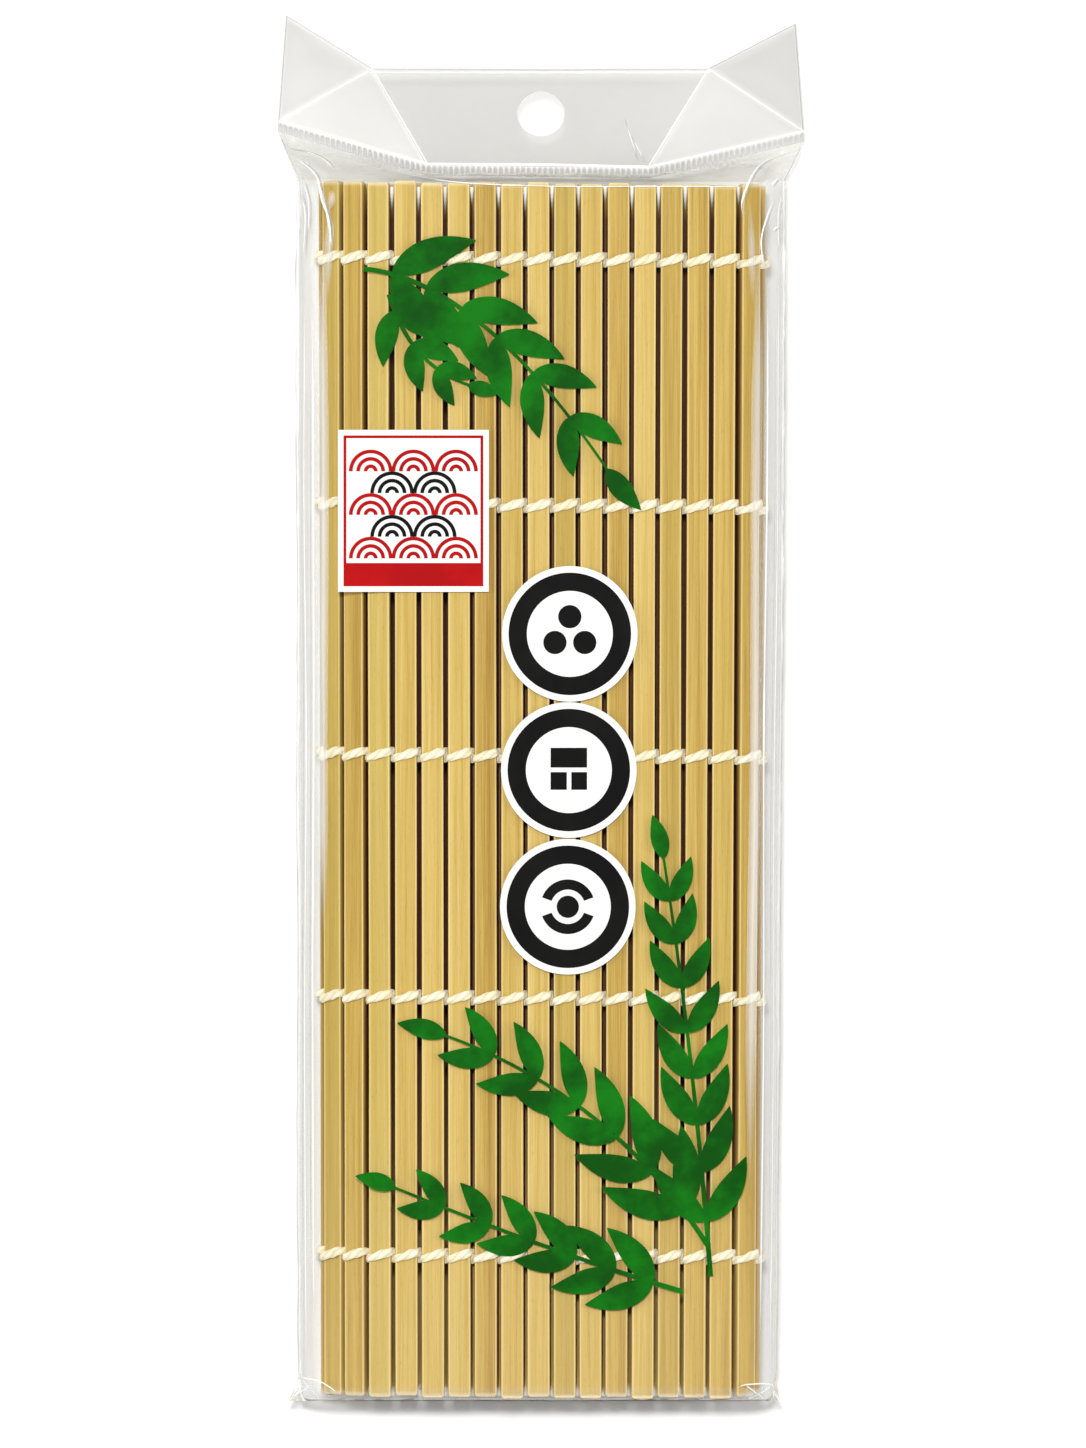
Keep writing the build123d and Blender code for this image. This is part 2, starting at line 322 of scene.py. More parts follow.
def bamboo_material():
    """Split bamboo: lengthwise fibres, a tone for each slat, painted highlights on its edges and ends,
    and painted shade on its sides and on the faces inside the fold.
    """
    n = Nodes(bpy.data.materials.new("bamboo"))
    grain = n.mark("grain", "Vector")
    green = n.mark("green")
    streaks = n.noise(grain, (1.1, 0.012, 1.1), 3.0, 0.6)
    fibres = n.noise(grain, (7.0, 0.06, 7.0), 4.0, 0.7)
    fine = n.noise(grain, (20.0, 0.5, 20.0), 2.0, 0.6)
    flecks = n.noise(grain, (9.0, 0.7, 9.0), 1.0, 0.5)
    level = n.math("MULTIPLY_ADD", streaks, 0.9, -0.45)
    level = n.math("ADD", level, n.mark("tone"))
    wave = n.math("MULTIPLY_ADD", fibres, 0.95, -0.48)
    across = n.add("ShaderNodeSeparateXYZ", {0: grain}).outputs[0]
    lean = n.math("MULTIPLY", across, n.math("SUBTRACT", green, 0.5))
    level = n.math("ADD", level, n.math("MULTIPLY", lean, 0.12))
    level = n.math("ADD", level, wave, clamp=True)
    colours = n.add("ShaderNodeValToRGB", {"Fac": level})
    stops = colours.color_ramp.elements
    stops[0].position = 0.05
    stops[0].color = srgb(160, 119, 42)
    stops[1].position = 0.95
    stops[1].color = srgb(229, 201, 126)
    middle = stops.new(0.5)
    middle.color = srgb(203, 171, 88)
    # Painted light: the painted shade in the gaps fades near the slat ends and towards the foot, where
    # light reaches in
    away = n.math("SUBTRACT", 1.0, n.math("MULTIPLY", n.mark("from_end"), 0.8))
    colour = n.tint(colours.outputs[0], green, 0.6, srgb(187, 166, 84))
    colour = n.tint(colour, n.mark("foot"), 0.15, srgb(216, 190, 146))
    colour = n.tint(colour, n.ramp(flecks, 0.62, 0.78), 0.3, srgb(150, 108, 44))
    # Painted shade: the faces inside the fold and the slat sides turn dark brown, standing in for the
    # shade in the gaps
    colour = n.tint(colour, n.mark("inner"), away, srgb(84, 36, 4))
    colour = n.tint(colour, n.mark("side"), away, srgb(92, 42, 6))
    # Painted highlights: pale thin lines along the slat edges and round their ends
    colour = n.tint(colour, n.mark("edge"), 0.6, srgb(244, 222, 158))
    colour = n.tint(colour, n.mark("end"), 0.6, srgb(250, 235, 196))
    relief = n.math("ADD", fibres, n.math("MULTIPLY", fine, 0.5))
    rough = n.math("MULTIPLY_ADD", fibres, 0.25, 0.38)
    shader = n.shader(
        "ShaderNodeBsdfPrincipled",
        Base_Color=colour,
        Roughness=rough,
        Specular_IOR_Level=0.12,
        Normal=n.bump(relief, 0.35, 0.00008),
    )
    return n.finish(shader)


def cord_material():
    """Soft twisted cotton: cream, with painted shade between the plies, and fine fibres."""
    n = Nodes(bpy.data.materials.new("cord"))
    place = n.place()
    fibres = n.noise(place, (5200.0, 5200.0, 5200.0), 3.0, 0.6)
    patches = n.noise(place, (300.0, 300.0, 300.0), 2.0, 0.5)
    colour = n.mix(n.ramp(patches, 0.3, 0.7), srgb(255, 250, 226), srgb(248, 238, 202))
    # Painted shade in the grooves between the plies
    colour = n.tint(colour, n.math("POWER", n.mark("ply_groove_shade"), 3.0), 0.55, srgb(186, 164, 108))
    colour = n.tint(colour, n.ramp(fibres, 0.55, 0.8), 0.3, srgb(200, 182, 132))
    shader = n.shader(
        "ShaderNodeBsdfPrincipled",
        Base_Color=colour,
        Roughness=0.85,
        Sheen_Weight=0.25,
        Sheen_Roughness=0.5,
        Normal=n.bump(fibres, 0.5, 0.00012),
    )
    return n.finish(shader)


def film_material(
    name, clear, milk, tint, ripples, streaks, waviness=0.4, unevenness=0.9, shadow=1.0
):
    """Packing film: see-through, with a weak gloss and milky haze where it is marked, and painted
    highlights, painted lightness and painted shade in that haze where marked.
    """
    n = Nodes(bpy.data.materials.new(name))
    haze = n.mark("haze")
    crease = n.mark("crease")
    place = n.place()
    wave = n.noise(place, ripples, 3.0, 0.55)
    streak = n.noise(place, streaks, 2.0, 0.5)
    normal = n.bump(wave, waviness, 0.0005)
    facing = n.add("ShaderNodeLayerWeight", {"Blend": 0.5, "Normal": normal}).outputs["Facing"]
    mirror = n.math("MULTIPLY_ADD", n.math("POWER", facing, 4.0), 0.8, 0.003)
    gloss = n.shader("ShaderNodeBsdfGlossy", Color=(1, 1, 1, 1), Roughness=0.07, Normal=normal)
    see_through = n.shader("ShaderNodeBsdfTransparent", Color=clear)
    skin = n.blend_shaders(mirror, see_through, gloss)
    # Painted light: pale lightens the haze, shade greys it and the crease glint whitens it, standing in
    # for lit facets, dark edges and glints
    bright = n.mix(n.mark("pale"), milk, srgb(243, 243, 240))
    bright = n.mix(n.mark("shade"), bright, tint)
    bright = n.mix(crease, bright, srgb(255, 255, 254))
    cloud = n.shader("ShaderNodeBsdfPrincipled", Base_Color=bright, Roughness=0.3, Normal=normal)
    # Streaks in the haze: partly the film's own unevenness, partly painted glints on its turned sides
    spread = n.math("MULTIPLY_ADD", n.ramp(streak, 0.3, 0.72), unevenness, 1 - unevenness / 2)
    share = n.math("MULTIPLY", haze, spread)
    share = n.math("ADD", share, n.math("MULTIPLY", crease, 0.7), clamp=True)
    if shadow < 1:
        shadow_ray = n.add("ShaderNodeLightPath").outputs["Is Shadow Ray"]
        lighter = n.math("MULTIPLY", shadow_ray, 1 - shadow)
        share = n.math("MULTIPLY", share, n.math("SUBTRACT", 1.0, lighter))
    return n.finish(n.blend_shaders(share, skin, cloud))


def ink_material(name, colour, second):
    """Printing ink on film: mottled, with a weak gloss, and hardly see-through."""
    n = Nodes(bpy.data.materials.new(name))
    place = n.place()
    mottle = n.noise(place, (90.0, 90.0, 90.0), 4.0, 0.6)
    grain = n.noise(place, (1500.0, 1500.0, 1500.0), 2.0, 0.5)
    shade = n.mix(n.ramp(mottle, 0.35, 0.7), colour, second)
    ink = n.shader(
        "ShaderNodeBsdfPrincipled",
        Base_Color=shade,
        Roughness=0.5,
        Specular_IOR_Level=0.05,
        Normal=n.bump(grain, 0.15, 0.00005),
    )
    clear = n.shader("ShaderNodeBsdfTransparent", Color=(1, 1, 1, 1))
    cover = n.math("MULTIPLY_ADD", n.ramp(grain, 0.3, 0.7), 1 - ink_cover, ink_cover)
    return n.finish(n.blend_shaders(cover, clear, ink))


bamboo = bamboo_material()
cotton = cord_material()
# Each film's third colour is the grey of its painted shade
clear_film = film_material(
    "clear_film",
    (0.98, 0.982, 0.98, 1),
    srgb(243, 246, 247),
    srgb(168, 168, 165),
    (260.0, 18.0, 260.0),
    (700.0, 14.0, 300.0),
    waviness=0.22,
    unevenness=0.4,
)
header_film = film_material(
    "header_film",
    (0.745, 0.745, 0.735, 1),
    srgb(214, 213, 210),
    srgb(170, 166, 162),
    (30.0, 45.0, 30.0),
    (12.0, 20.0, 12.0),
    shadow=0.35,
)
loose_film = film_material(
    "loose_film",
    (0.97, 0.97, 0.955, 1),
    srgb(236, 235, 228),
    srgb(168, 166, 158),
    (70.0, 90.0, 70.0),
    (26.0, 60.0, 40.0),
)
# The foot film's warm milk and tan shade colour are painted reflection of the bamboo and painted shade
# in the fold
foot_film = film_material(
    "foot_film",
    (0.96, 0.955, 0.93, 1),
    srgb(226, 222, 208),
    srgb(142, 122, 84),
    (200.0, 120.0, 200.0),
    (60.0, 60.0, 60.0),
)
green_ink = ink_material("green_ink", srgb(0, 74, 0), srgb(8, 116, 8))
black_ink = ink_material("black_ink", srgb(4, 4, 4), srgb(14, 14, 13))
white_ink = ink_material("white_ink", srgb(244, 244, 240), srgb(234, 234, 230))
red_ink = ink_material("red_ink", srgb(168, 0, 6), srgb(184, 4, 10))


# Slats
slat_names = [f"slat_{slat + 1:02d}" for slat in range(slat_count)]
slat_boxes = [box_mm(name) for name in slat_names]
centres = [(low + high) / 2 for low, high in slat_boxes]
outer_count = back_count + len(wide_turn) + front_count + len(tight_turn)
flap = centres[-1] - centres[outer_count]
mat_half = max(high.x for low, high in slat_boxes)
mean_low = sum(low.y for low, high in slat_boxes) / slat_count
mean_high = sum(high.y for low, high in slat_boxes) / slat_count
flap_direction = math.degrees(math.atan2(flap.z, flap.x))
directions = [180] * back_count + list(wide_turn) + [0] * front_count + list(tight_turn)
directions += [flap_direction] * (slat_count - outer_count)


def heading(slat):
    """Unit vectors along a slat's width and out of its face."""
    angle = math.radians(directions[slat])
    along = Vector((math.cos(angle), 0, math.sin(angle)))
    return along, Vector((-along.z, 0, along.x))


def slat_outline():
    """Section of a slat: across, out, and how far each point is on a side or an edge."""
    half_w, half_t, r = slat_width / 2, slat_thickness / 2, edge_rounding
    outline = []
    for corner in range(4):
        turn = math.pi / 2 * corner
        x_sign, z_sign = ((1, 1), (-1, 1), (-1, -1), (1, -1))[corner]
        for step in range(5):
            angle = turn + math.pi / 2 * step / 4
            x = x_sign * (half_w - r) + r * math.cos(angle)
            z = z_sign * (half_t - r) + r * math.sin(angle)
            level = abs(math.cos(angle))
            outline.append((x, z, smooth(level, 0.55, 0.95), smooth(1 - level, 0.15, 0.6)))
        if z_sign == x_sign:
            for share in (0.88, 0.5, 0, -0.5, -0.88):
                x = share * (half_w - r) * x_sign
                crown = face_crown * (1 - share * share)
                outline.append((x, z_sign * (half_t + crown - face_crown), 0, 0))
    return outline


section = slat_outline()


def slat_y(slat):
    """Places along a slat, closer together at its rounded ends, each with its way to the end."""
    low = slat_boxes[slat][0].y * 0.6 + mean_low * 0.4
    high = slat_boxes[slat][1].y * 0.6 + mean_high * 0.4
    if slat < back_count:
        low += back_lift
    steps = [0, 0.06, 0.16, 0.32, 0.55, 0.9, 1.6]
    inner = [1.6 + (high - low - 3.2) * step / slat_stations for step in range(1, slat_stations)]
    inner = [4.0, 7.0] + inner + [high - low - 7.0, high - low - 4.0]
    stations = [(low + s, s) for s in steps]
    stations += [(low + s, far_from_end) for s in inner]
    return stations + [(high - s, s) for s in reversed(steps)]


def settled(x, y, z):
    """A place of the mat as it lies: a little askew, and closer together towards its foot."""
    down = min(1.0, max(0.0, (mean_high - y) / (mean_high - mean_low)))
    draw = (foot_draw_right if x > 0 else foot_draw_left) / mat_half
    return x * (1 - draw * down), y - mat_lean * (x - down * max(0, x)), z


def make_slat(slat):
    """One slat, with its own play in width, bow and tone."""
    along, outward = heading(slat)
    stations = slat_y(slat)
    shaded = 1.0 if directions[slat] in (180, 0, flap_direction) else turned_side_shade
    points = []
    marks = {name: [] for name in ("grain", "side", "edge", "end", "from_end", "inner", "foot")}
    for y, from_end in stations:
        plan_cut = face_cut = 0.0
        if from_end < end_rounding:
            plan_cut = end_rounding - math.sqrt(end_rounding**2 - (end_rounding - from_end) ** 2)
        if from_end < end_easing:
            face_cut = end_easing - math.sqrt(end_easing**2 - (end_easing - from_end) ** 2)
        play = slat_full_width - width_play_share * wander(slat * 7.3, y * 0.02)
        play -= slat_waist * smooth(wander(slat * 3.7, y * 0.05, 4.0), 0.3, 0.7)
        play += foot_widening * (1 - smooth(y, mean_low, mean_high - 60))
        bow = bow_play * wander(slat * 11.1, y * 0.008, 9.0)
        wide = play - plan_cut * 0.8 / (slat_width / 2)
        tall = 1 - face_cut / (slat_thickness / 2) * 0.7
        # Painted light that lifts the gap shade near both ends and, less strongly, over the lowest part
        # of the slat
        near_top = 1 - smooth(stations[-1][0] - y, 0.5, 7.0)
        near_foot = 1 - smooth(y - stations[0][0], 1.0, 11.0)
        paler = 0.7 * (1 - smooth(y - stations[0][0], 15.0, 70.0))
        for x, z, on_side, on_edge in section:
            point = centres[slat] + along * (x * wide + bow) + outward * (z * tall)
            points.append(settled(point.x, y, point.z))
            behind = slat >= outer_count
            # Marks: grain, painted side shade, painted edge highlight, painted end highlight, painted
            # light near the ends, painted shade inside the fold, and a paler tint towards the foot
            values = (
                (x, y, z + slat * 13.0),
                on_side * shaded,
                on_edge * (hidden_edge_highlight if behind else 1.0),
                1 - smooth(from_end, 0.1, 1.0),
                max(near_top, near_foot, paler),
                inner_face_shade if behind or z < -slat_thickness / 4 else 0.0,
                1 - smooth(y, mean_low + 6, mean_low + 70),
            )
            for kept, value in zip(marks.values(), values):
                kept.append(value)
    count = len(section)
    faces = grid_faces(len(stations), count, closed=True)
    faces.append(tuple(range(count)))
    faces.append(tuple(reversed(range(len(points) - count, len(points)))))
    tone = tone_middle + tone_spread * (scatter(slat, 1) - 0.5)
    marks["tone"] = [tone] * len(points)
    marks["green"] = [0.15 + 0.6 * smooth(scatter(slat, 2), 0.45, 1.0)] * len(points)
    name = slat_names[slat]
    mesh_piece(f"bamboo_{slat + 1:02d}", points, faces, bamboo, name, [name], marks)


for slat in range(slat_count):
    make_slat(slat)


# Twined cords
def meeting(slat):
    """Where the middle lines of a slat and the next one meet."""
    a, b = centres[slat], centres[slat + 1]
    u, v = heading(slat)[0], heading(slat + 1)[0]
    cross = u.x * v.z - u.z * v.x
    if abs(cross) < 0.001:
        return (a + b) / 2
    reach = ((b.x - a.x) * v.z - (b.z - a.z) * v.x) / cross
    return a + u * reach


first_hinge = centres[0] - heading(0)[0] * ((slat_width + slat_gap) / 2)
last_hinge = centres[-1] + heading(slat_count - 1)[0] * ((slat_width + slat_gap) / 2)
hinges = [first_hinge] + [meeting(slat) for slat in range(slat_count - 1)] + [last_hinge]
slat_shares = (0, 0.03, 0.06, 0.09, 0.13, 0.18, 0.25, 0.35, 0.45)
slat_shares += (0.55, 0.65, 0.74, 0.81, 0.86, 0.9, 0.94, 0.97)


def hinge_outward(hinge):
    """Direction out of the mat at a hinge line."""
    before = heading(max(hinge - 1, 0))[1]
    after = heading(min(hinge, slat_count - 1))[1]
    return (before + after).normalized()


def strand_route(side, row):
    """Centre points of one cord of a pair, with its half width and half thickness."""
    route = []
    for slat in range(slat_count):
        start, finish = hinges[slat], hinges[slat + 1]
        outward = heading(slat)[1]
        slack = 1 + 0.1 * wander(slat * 1.7, row * 5.3, side)
        for share in slat_shares:
            rise = smooth(min(share, 1 - share), 0.0, 0.17)
            hinge = slat if share < 0.5 else slat + 1
            lean = smooth(min(share, 1 - share), 0.0, 0.2)
            out = (hinge_outward(hinge) * (1 - lean) + outward * lean).normalized()
            across = 2 * share - 1
            across = across * 0.75 + 0.25 * math.sin(math.pi / 2 * across)
            y = side * strand_cross * across * slack + 0.1 * wander(slat * 0.9, row * 3.1, 2.0)
            point = start + (finish - start) * share + out * (side * strand_level * rise)
            swell = 0.94 + 0.2 * math.exp(-(((share - 0.66) / 0.2) ** 2))
            swell += 0.07 * wander(slat * 2.3 + share, row * 7.7, side)
            thick = strand_pinched + (strand_half_thickness - strand_pinched) * rise
            route.append((Vector((point.x, y, point.z)), strand_half_width * swell, thick))
        side = -side
    return route


def tube(route, points, faces, ply_groove_shade, steady=Vector((0, 1, 0))):
    """Adds a lobed, twisted tube along a route of (centre, half width, half thickness)."""
    first = len(points)
    travelled = 0.0
    for index, (centre, half_width, half_thickness) in enumerate(route):
        before = route[max(index - 1, 0)][0]
        after = route[min(index + 1, len(route) - 1)][0]
        travelled += (centre - before).length
        forward = (after - before).normalized()
        out = steady.cross(forward).normalized()
        across = forward.cross(out)
        lay = travelled / ply_pitch * 2 * math.pi / ply_count
        for step in range(strand_sides):
            angle = 2 * math.pi * step / strand_sides
            lobe = math.cos(ply_count * (angle + lay))
            reach = 1 + ply_depth_share * (lobe - 1) / 2
            offset = out * (half_thickness * reach * math.cos(angle))
            offset += across * (half_width * reach * math.sin(angle))
            points.append(centre + offset)
            ply_groove_shade.append((1 - lobe) / 2)
    faces += grid_faces(len(route), strand_sides, closed=True, first=first)
    last = len(points) - strand_sides
    faces.append(tuple(reversed(range(first, first + strand_sides))))
    faces.append(tuple(range(last, len(points))))


def knot_place(hinge, outgoing):
    """A knot's middle, with the directions away from the mat and out of its face."""
    away = heading(min(hinge, slat_count - 1))[0] * outgoing
    return hinges[hinge] + away * knot_reach, away, hinge_outward(hinge)


def knot_route(hinge, outgoing):
    """The turns of a knot at the mat's edge, wound about the Y direction."""
    centre, away, out = knot_place(hinge, outgoing)
    steps = 40
    route = []
    for step in range(steps + 1):
        share = step / steps
        angle = 2 * math.pi * knot_turns * share
        height = knot_half_height * (2 * share - 1)
        swing = away * math.cos(angle) + out * math.sin(angle)
        point = centre + swing * knot_turn_radius + Vector((0, height, 0))
        route.append((point, knot_strand_radius, knot_strand_radius))
    return route


def tail_route(hinge, outgoing, lean):
    """A loose cord end that leaves the knot towards the header."""
    start, away, out = knot_place(hinge, outgoing)
    steps = 12
    route = []
    for step in range(steps + 1):
        share = step / steps
        sway = out * (lean * 0.25 * math.sin(3 * share)) + away * (lean * 0.2 * share)
        height = knot_half_height + tail_length * share
        radius = tail_radius * (1 - 0.35 * share * share)
        route.append((start + sway + Vector((0, height, 0)), radius, radius))
    return route


for row in range(row_count):
    node = f"cord_row_{row + 1}"
    low, high = box_mm(node)
    row_y = low.y + row_foot
    points, faces, ply_groove_shade = [], [], []
    for side in (1, -1):
        tube(strand_route(side, row), points, faces, ply_groove_shade)
    for hinge, outgoing in ((0, -1), (slat_count, 1)):
        sideways = Vector((0.3, 0.1, 1)).normalized()
        tube(knot_route(hinge, outgoing), points, faces, ply_groove_shade, sideways)
        for lean in (1, -1):
            tube(tail_route(hinge, outgoing, lean), points, faces, ply_groove_shade, sideways)
    placed = [settled(p.x, p.y + row_y, p.z) for p in points]
    marks = {"ply_groove_shade": ply_groove_shade}
    mesh_piece(f"twined_{row + 1}", placed, faces, cotton, "mat_cords", [node], marks)


# Pouch body
front_low, front_high = box_mm("pouch_front")
back_low = box_mm("pouch_back")[0]
half_width = front_high.x - film_inset
pouch_top = front_high.z - film_inset
pouch_floor = back_low.z + film_inset
middle_z = (front_high.z + back_low.z) / 2
mouth_y = front_high.y
foot_y = front_low.y


class Film:
    """One piece of film: its points and faces, with the marks of each point."""

    def __init__(self):
        self.points, self.faces = [], []
        self.marks = {"haze": [], "crease": [], "shade": [], "pale": []}

    def put(self, point, haze, crease=0.0, shade=0.0, pale=0.0):
        """Adds a point with its marks."""
        self.points.append(point)
        for kept, value in zip(self.marks.values(), (haze, crease, shade, pale)):
            kept.append(value)

    def piece(self, name, material, body, slot, replaced=()):
        """The mesh of all that was put in."""
        return mesh_piece(name, self.points, self.faces, material, body, replaced, self.marks)


def film_ring():
    """Places round the tube's section from its right edge over the front: x, z, normal."""
    r = film_corner - film_inset
    flat = half_width - r
    side = (pouch_top - pouch_floor) / 2 - r
    ring = []

    def corner(x_sign, z_sign, start):
        for step in range(11):
            angle = math.radians(start + 9 * step)
            x, z = math.cos(angle), math.sin(angle)
            ring.append((x_sign * flat + r * x, middle_z + z_sign * side + r * z, x, z))

    def straight(level, sign, count):
        for step in range(1, count):
            ring.append((sign * flat * (1 - 2 * step / count), level, 0, sign))

    ring.append((half_width, middle_z, 1, 0))
    corner(1, 1, 0)
    straight(pouch_top, 1, 64)
    corner(-1, 1, 90)
    ring.append((-half_width, middle_z, -1, 0))
    corner(-1, -1, 180)
    straight(pouch_floor, -1, 44)
    corner(1, -1, 270)
    return ring


def film_dent(x, z, y):
    """How far the film stands in from its full section."""
    face = face_ripple * (0.5 + 0.5 * wander(x * 0.07, y * 0.018, 3.0))
    edge_share = smooth(abs(x), 42.5, 47.5)
    folds = abs(wander(z * 0.22 + x, y * 0.014, 7.0)) + 0.4 * abs(wander(z * 0.6, y * 0.04, x))
    top_share = smooth(y, 92, 121) * smooth(abs(x), 39.5, 45)
    creases = abs(wander(x * 0.4 + y * 0.05, z * 0.3, y * 0.06))
    return face + side_fold_depth * edge_share * folds + corner_fold_depth * top_share * creases


def film_x(x, y):
    """Where a place of the full pouch lies; it narrows towards its foot, more at its right."""
    down = min(1.0, max(0.0, (mouth_y - y) / (mouth_y - foot_y)))
    return x * (1 - (pouch_draw_right if x > 0 else pouch_draw_left) / half_width * down)


def film_point(place, y):
    """A point of the film's skin at a place of the ring."""
    x, z, normal_x, normal_z = place
    dent = film_dent(x, z, y)
    return Vector((film_x(x - normal_x * dent, y), y, z - normal_z * dent))


def film_haze(x):
    """Haze of the body film: hardly any on the faces, more where it turns down."""
    return 0.0006 + 0.2 * smooth(abs(x), 43.0, 46.5)


ring = film_ring()


def make_body():
    """The tube's skin, drawn in round the foot and closed there."""
    film = Film()
    for step in range(body_steps + 1):
        y = mouth_y - (mouth_y - foot_y - foot_turn) * step / body_steps
        for place in ring:
            film.put(film_point(place, y), film_haze(place[0]))
    for height, draw_z, draw_x in foot_steps:
        for place in ring:
            base = film_point(place, foot_y + foot_turn)
            pucker = 0.35 * wander(base.x * 0.5, base.z * 0.5, height)
            share_z = (base.z - middle_z) / (pouch_top - middle_z)
            share_x = base.x / half_width
            z = base.z - share_z * (draw_z + pucker * draw_z)
            x = base.x - share_x**5 * draw_x
            haze = 0.05 + film_haze(place[0]) + 0.1 * (foot_turn - height) / foot_turn
            # A faint painted glint where the film turns under at the foot
            crease = 0.08 * smooth(height, 1.5, 0.2)
            film.put(Vector((x, foot_y + height + 0.1, z)), haze, crease)
    film.faces = grid_faces(body_steps + 1 + len(foot_steps), len(ring), closed=True)
    centre = len(film.points)
    foot = list(range(centre - len(ring), centre))
    film.put(Vector((0, foot_y + 0.12, middle_z)), 0.2)
    film.faces += [(a, b, centre) for a, b in zip(foot, foot[1:] + foot[:1])]
    film.piece("pouch_film", clear_film, "pouch", "clear_film", ["pouch_front", "pouch_back"])
    return film


def make_side_seam(side, name, node):
    """A weld line down one edge, with a slightly wavy rim and a painted dark line along its outer rim.
    """
    low, high = box_mm(node)
    film = Film()
    for step in range(seam_steps + 1):
        y = high.y + (low.y - high.y) * step / seam_steps
        inner = film_point((side * half_width, middle_z, side, 0), y)
        width = seam_width + seam_play * wander(y * 0.09, side * 4.0)
        for share in (0, 0.5, 1):
            lift = 0.12 * wander(y * 0.2, share * 3.0, side)
            place = Vector((inner.x + side * width * share, y, middle_z + lift))
            # Painted shade darkens the weld towards its outer rim
            film.put(place, 0.35 + 0.6 * share, shade=share)
    film.faces = grid_faces(seam_steps + 1, 3)
    film.piece(name, clear_film, "pouch", "clear_film", [node])


def add_ear(film, side, low, high):
    """A small crinkled ear at one end of the foot's fold, within the fold's box, with painted glints
    along two fold lines and painted shade in its crinkles and at its rim.
    """
    first = len(film.points)
    outer = low.x if side < 0 else high.x - right_ear_trim
    for row in range(ear_rows + 1):
        down = row / ear_rows
        y = high.y + (foot_y - 0.2 - high.y) * down
        reach = 0.35 + (abs(outer) - half_width - 0.1) * down**1.4
        for column in range(ear_columns + 1):
            across = column / ear_columns
            x = side * (half_width - 1.6 * down - 0.3 + (reach + 1.6 * down + 0.2) * across)
            x = film_x(max(low.x, min(high.x, x)), y)
            z = middle_z + 0.7 * wander(x * 0.55, y * 0.5, 2.0)
            place = Vector((x, y + 0.2 * wander(x * 0.5, y * 0.5, 6.0) * (1 - down), z))
            fold = abs(wander(x * 0.7 + y * 0.5, y * 0.4, 8.0))
            rim = max(smooth(across, 0.8, 1.0), smooth(down, 0.85, 1.0))
            ray = min(abs(across - down), abs(across + 0.6 * down - 0.8))
            # Painted glints along two fold lines, and painted shade in the crinkles and at the rim
            crease = 0.9 * (1 - smooth(ray, 0.02, 0.09))
            shade = 0.1 + 0.3 * smooth(fold, 0.1, 0.4) + 0.1 * rim
            film.put(place, 0.3 + 0.3 * fold + 0.3 * rim, crease, shade)
    film.faces += grid_faces(ear_rows + 1, ear_columns + 1, first=first)


def make_foot_fold():
    """The fold across the foot, darkened with painted shade and painted reflection of the bamboo, most
    at its outer rim, with an ear at each end.
    """
    low, high = box_mm("bottom_fold")
    film = Film()
    inner_half = half_width - 1.0
    for step in range(fold_steps + 1):
        x = -inner_half + 2 * inner_half * step / fold_steps
        for share in (0, 0.5, 1):
            y = foot_y + 0.15 - (foot_y + 0.1 - low.y) * share * (0.8 + 0.2 * wander(x * 0.3, 1.0))
            z = middle_z + 0.3 * wander(x * 0.15, share, 5.0)
            # Painted shade and painted reflection of the bamboo, strongest at the outer rim
            film.put(Vector((film_x(x, y), y, z)), 0.4 + 0.4 * share, shade=0.6 + 0.4 * share)
    film.faces = grid_faces(fold_steps + 1, 3)
    for side in (-1, 1):
        add_ear(film, side, low, high)
    film.piece("foot_fold", foot_film, "pouch", "clear_film", ["bottom_fold"])
    return film


body_skin = make_body()
make_side_seam(-1, "weld_left", "side_seam_left")
make_side_seam(1, "weld_right", "side_seam_right")
foot_skin = make_foot_fold()

# Points of the seal and the header
tilt = math.radians(header_tilt)
up_header = Vector((0, math.cos(tilt), math.sin(tilt)))
out_of_header = Vector((0, -math.sin(tilt), math.cos(tilt)))
seal_y = seal_foot_y + seal_height
middle_left = Vector((-seal_left, seal_y + seal_slope, middle_z))
middle_right = Vector((seal_right, seal_y, middle_z))
end_left = Vector((-seal_half_width, seal_y + seal_rise_left, middle_z - seal_end_sink))
end_right = Vector((seal_half_width, seal_y + seal_rise_right, middle_z - seal_end_sink))


def on_header(x, height):
    """A point of the header's flat middle panel, at a height above the seal's middle."""
    share = (x - middle_left.x) / (middle_right.x - middle_left.x)
    foot = middle_left + (middle_right - middle_left) * share
    level = seal_y + height - foot.y
    return foot + Vector((0, level, level * math.tan(tilt)))


crease_top_left = on_header(-crease_left, header_height)
crease_top_right = on_header(crease_right, header_height)
tip_left = end_left + Vector((tip_inset, tip_rise_left, tip_sink))
tip_right = end_right + Vector((-tip_inset, tip_rise_right, tip_sink))
seal_tops = (end_left, middle_left, middle_right, end_right)
header_foot = [end + up_header * film_clearance for end in seal_tops]


def along_line(corners, share):
    """A point of a line through corners, at a share of its length."""
    lengths = [(b - a).length for a, b in zip(corners, corners[1:])]
    travel = share * sum(lengths)
    for a, b, length in zip(corners, corners[1:], lengths):
        if travel <= length:
            return a + (b - a) * (travel / length)
        travel -= length
    return corners[-1].copy()


def turn_with_header(piece):
    """Bakes a piece's placement into its mesh."""
    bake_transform(piece)


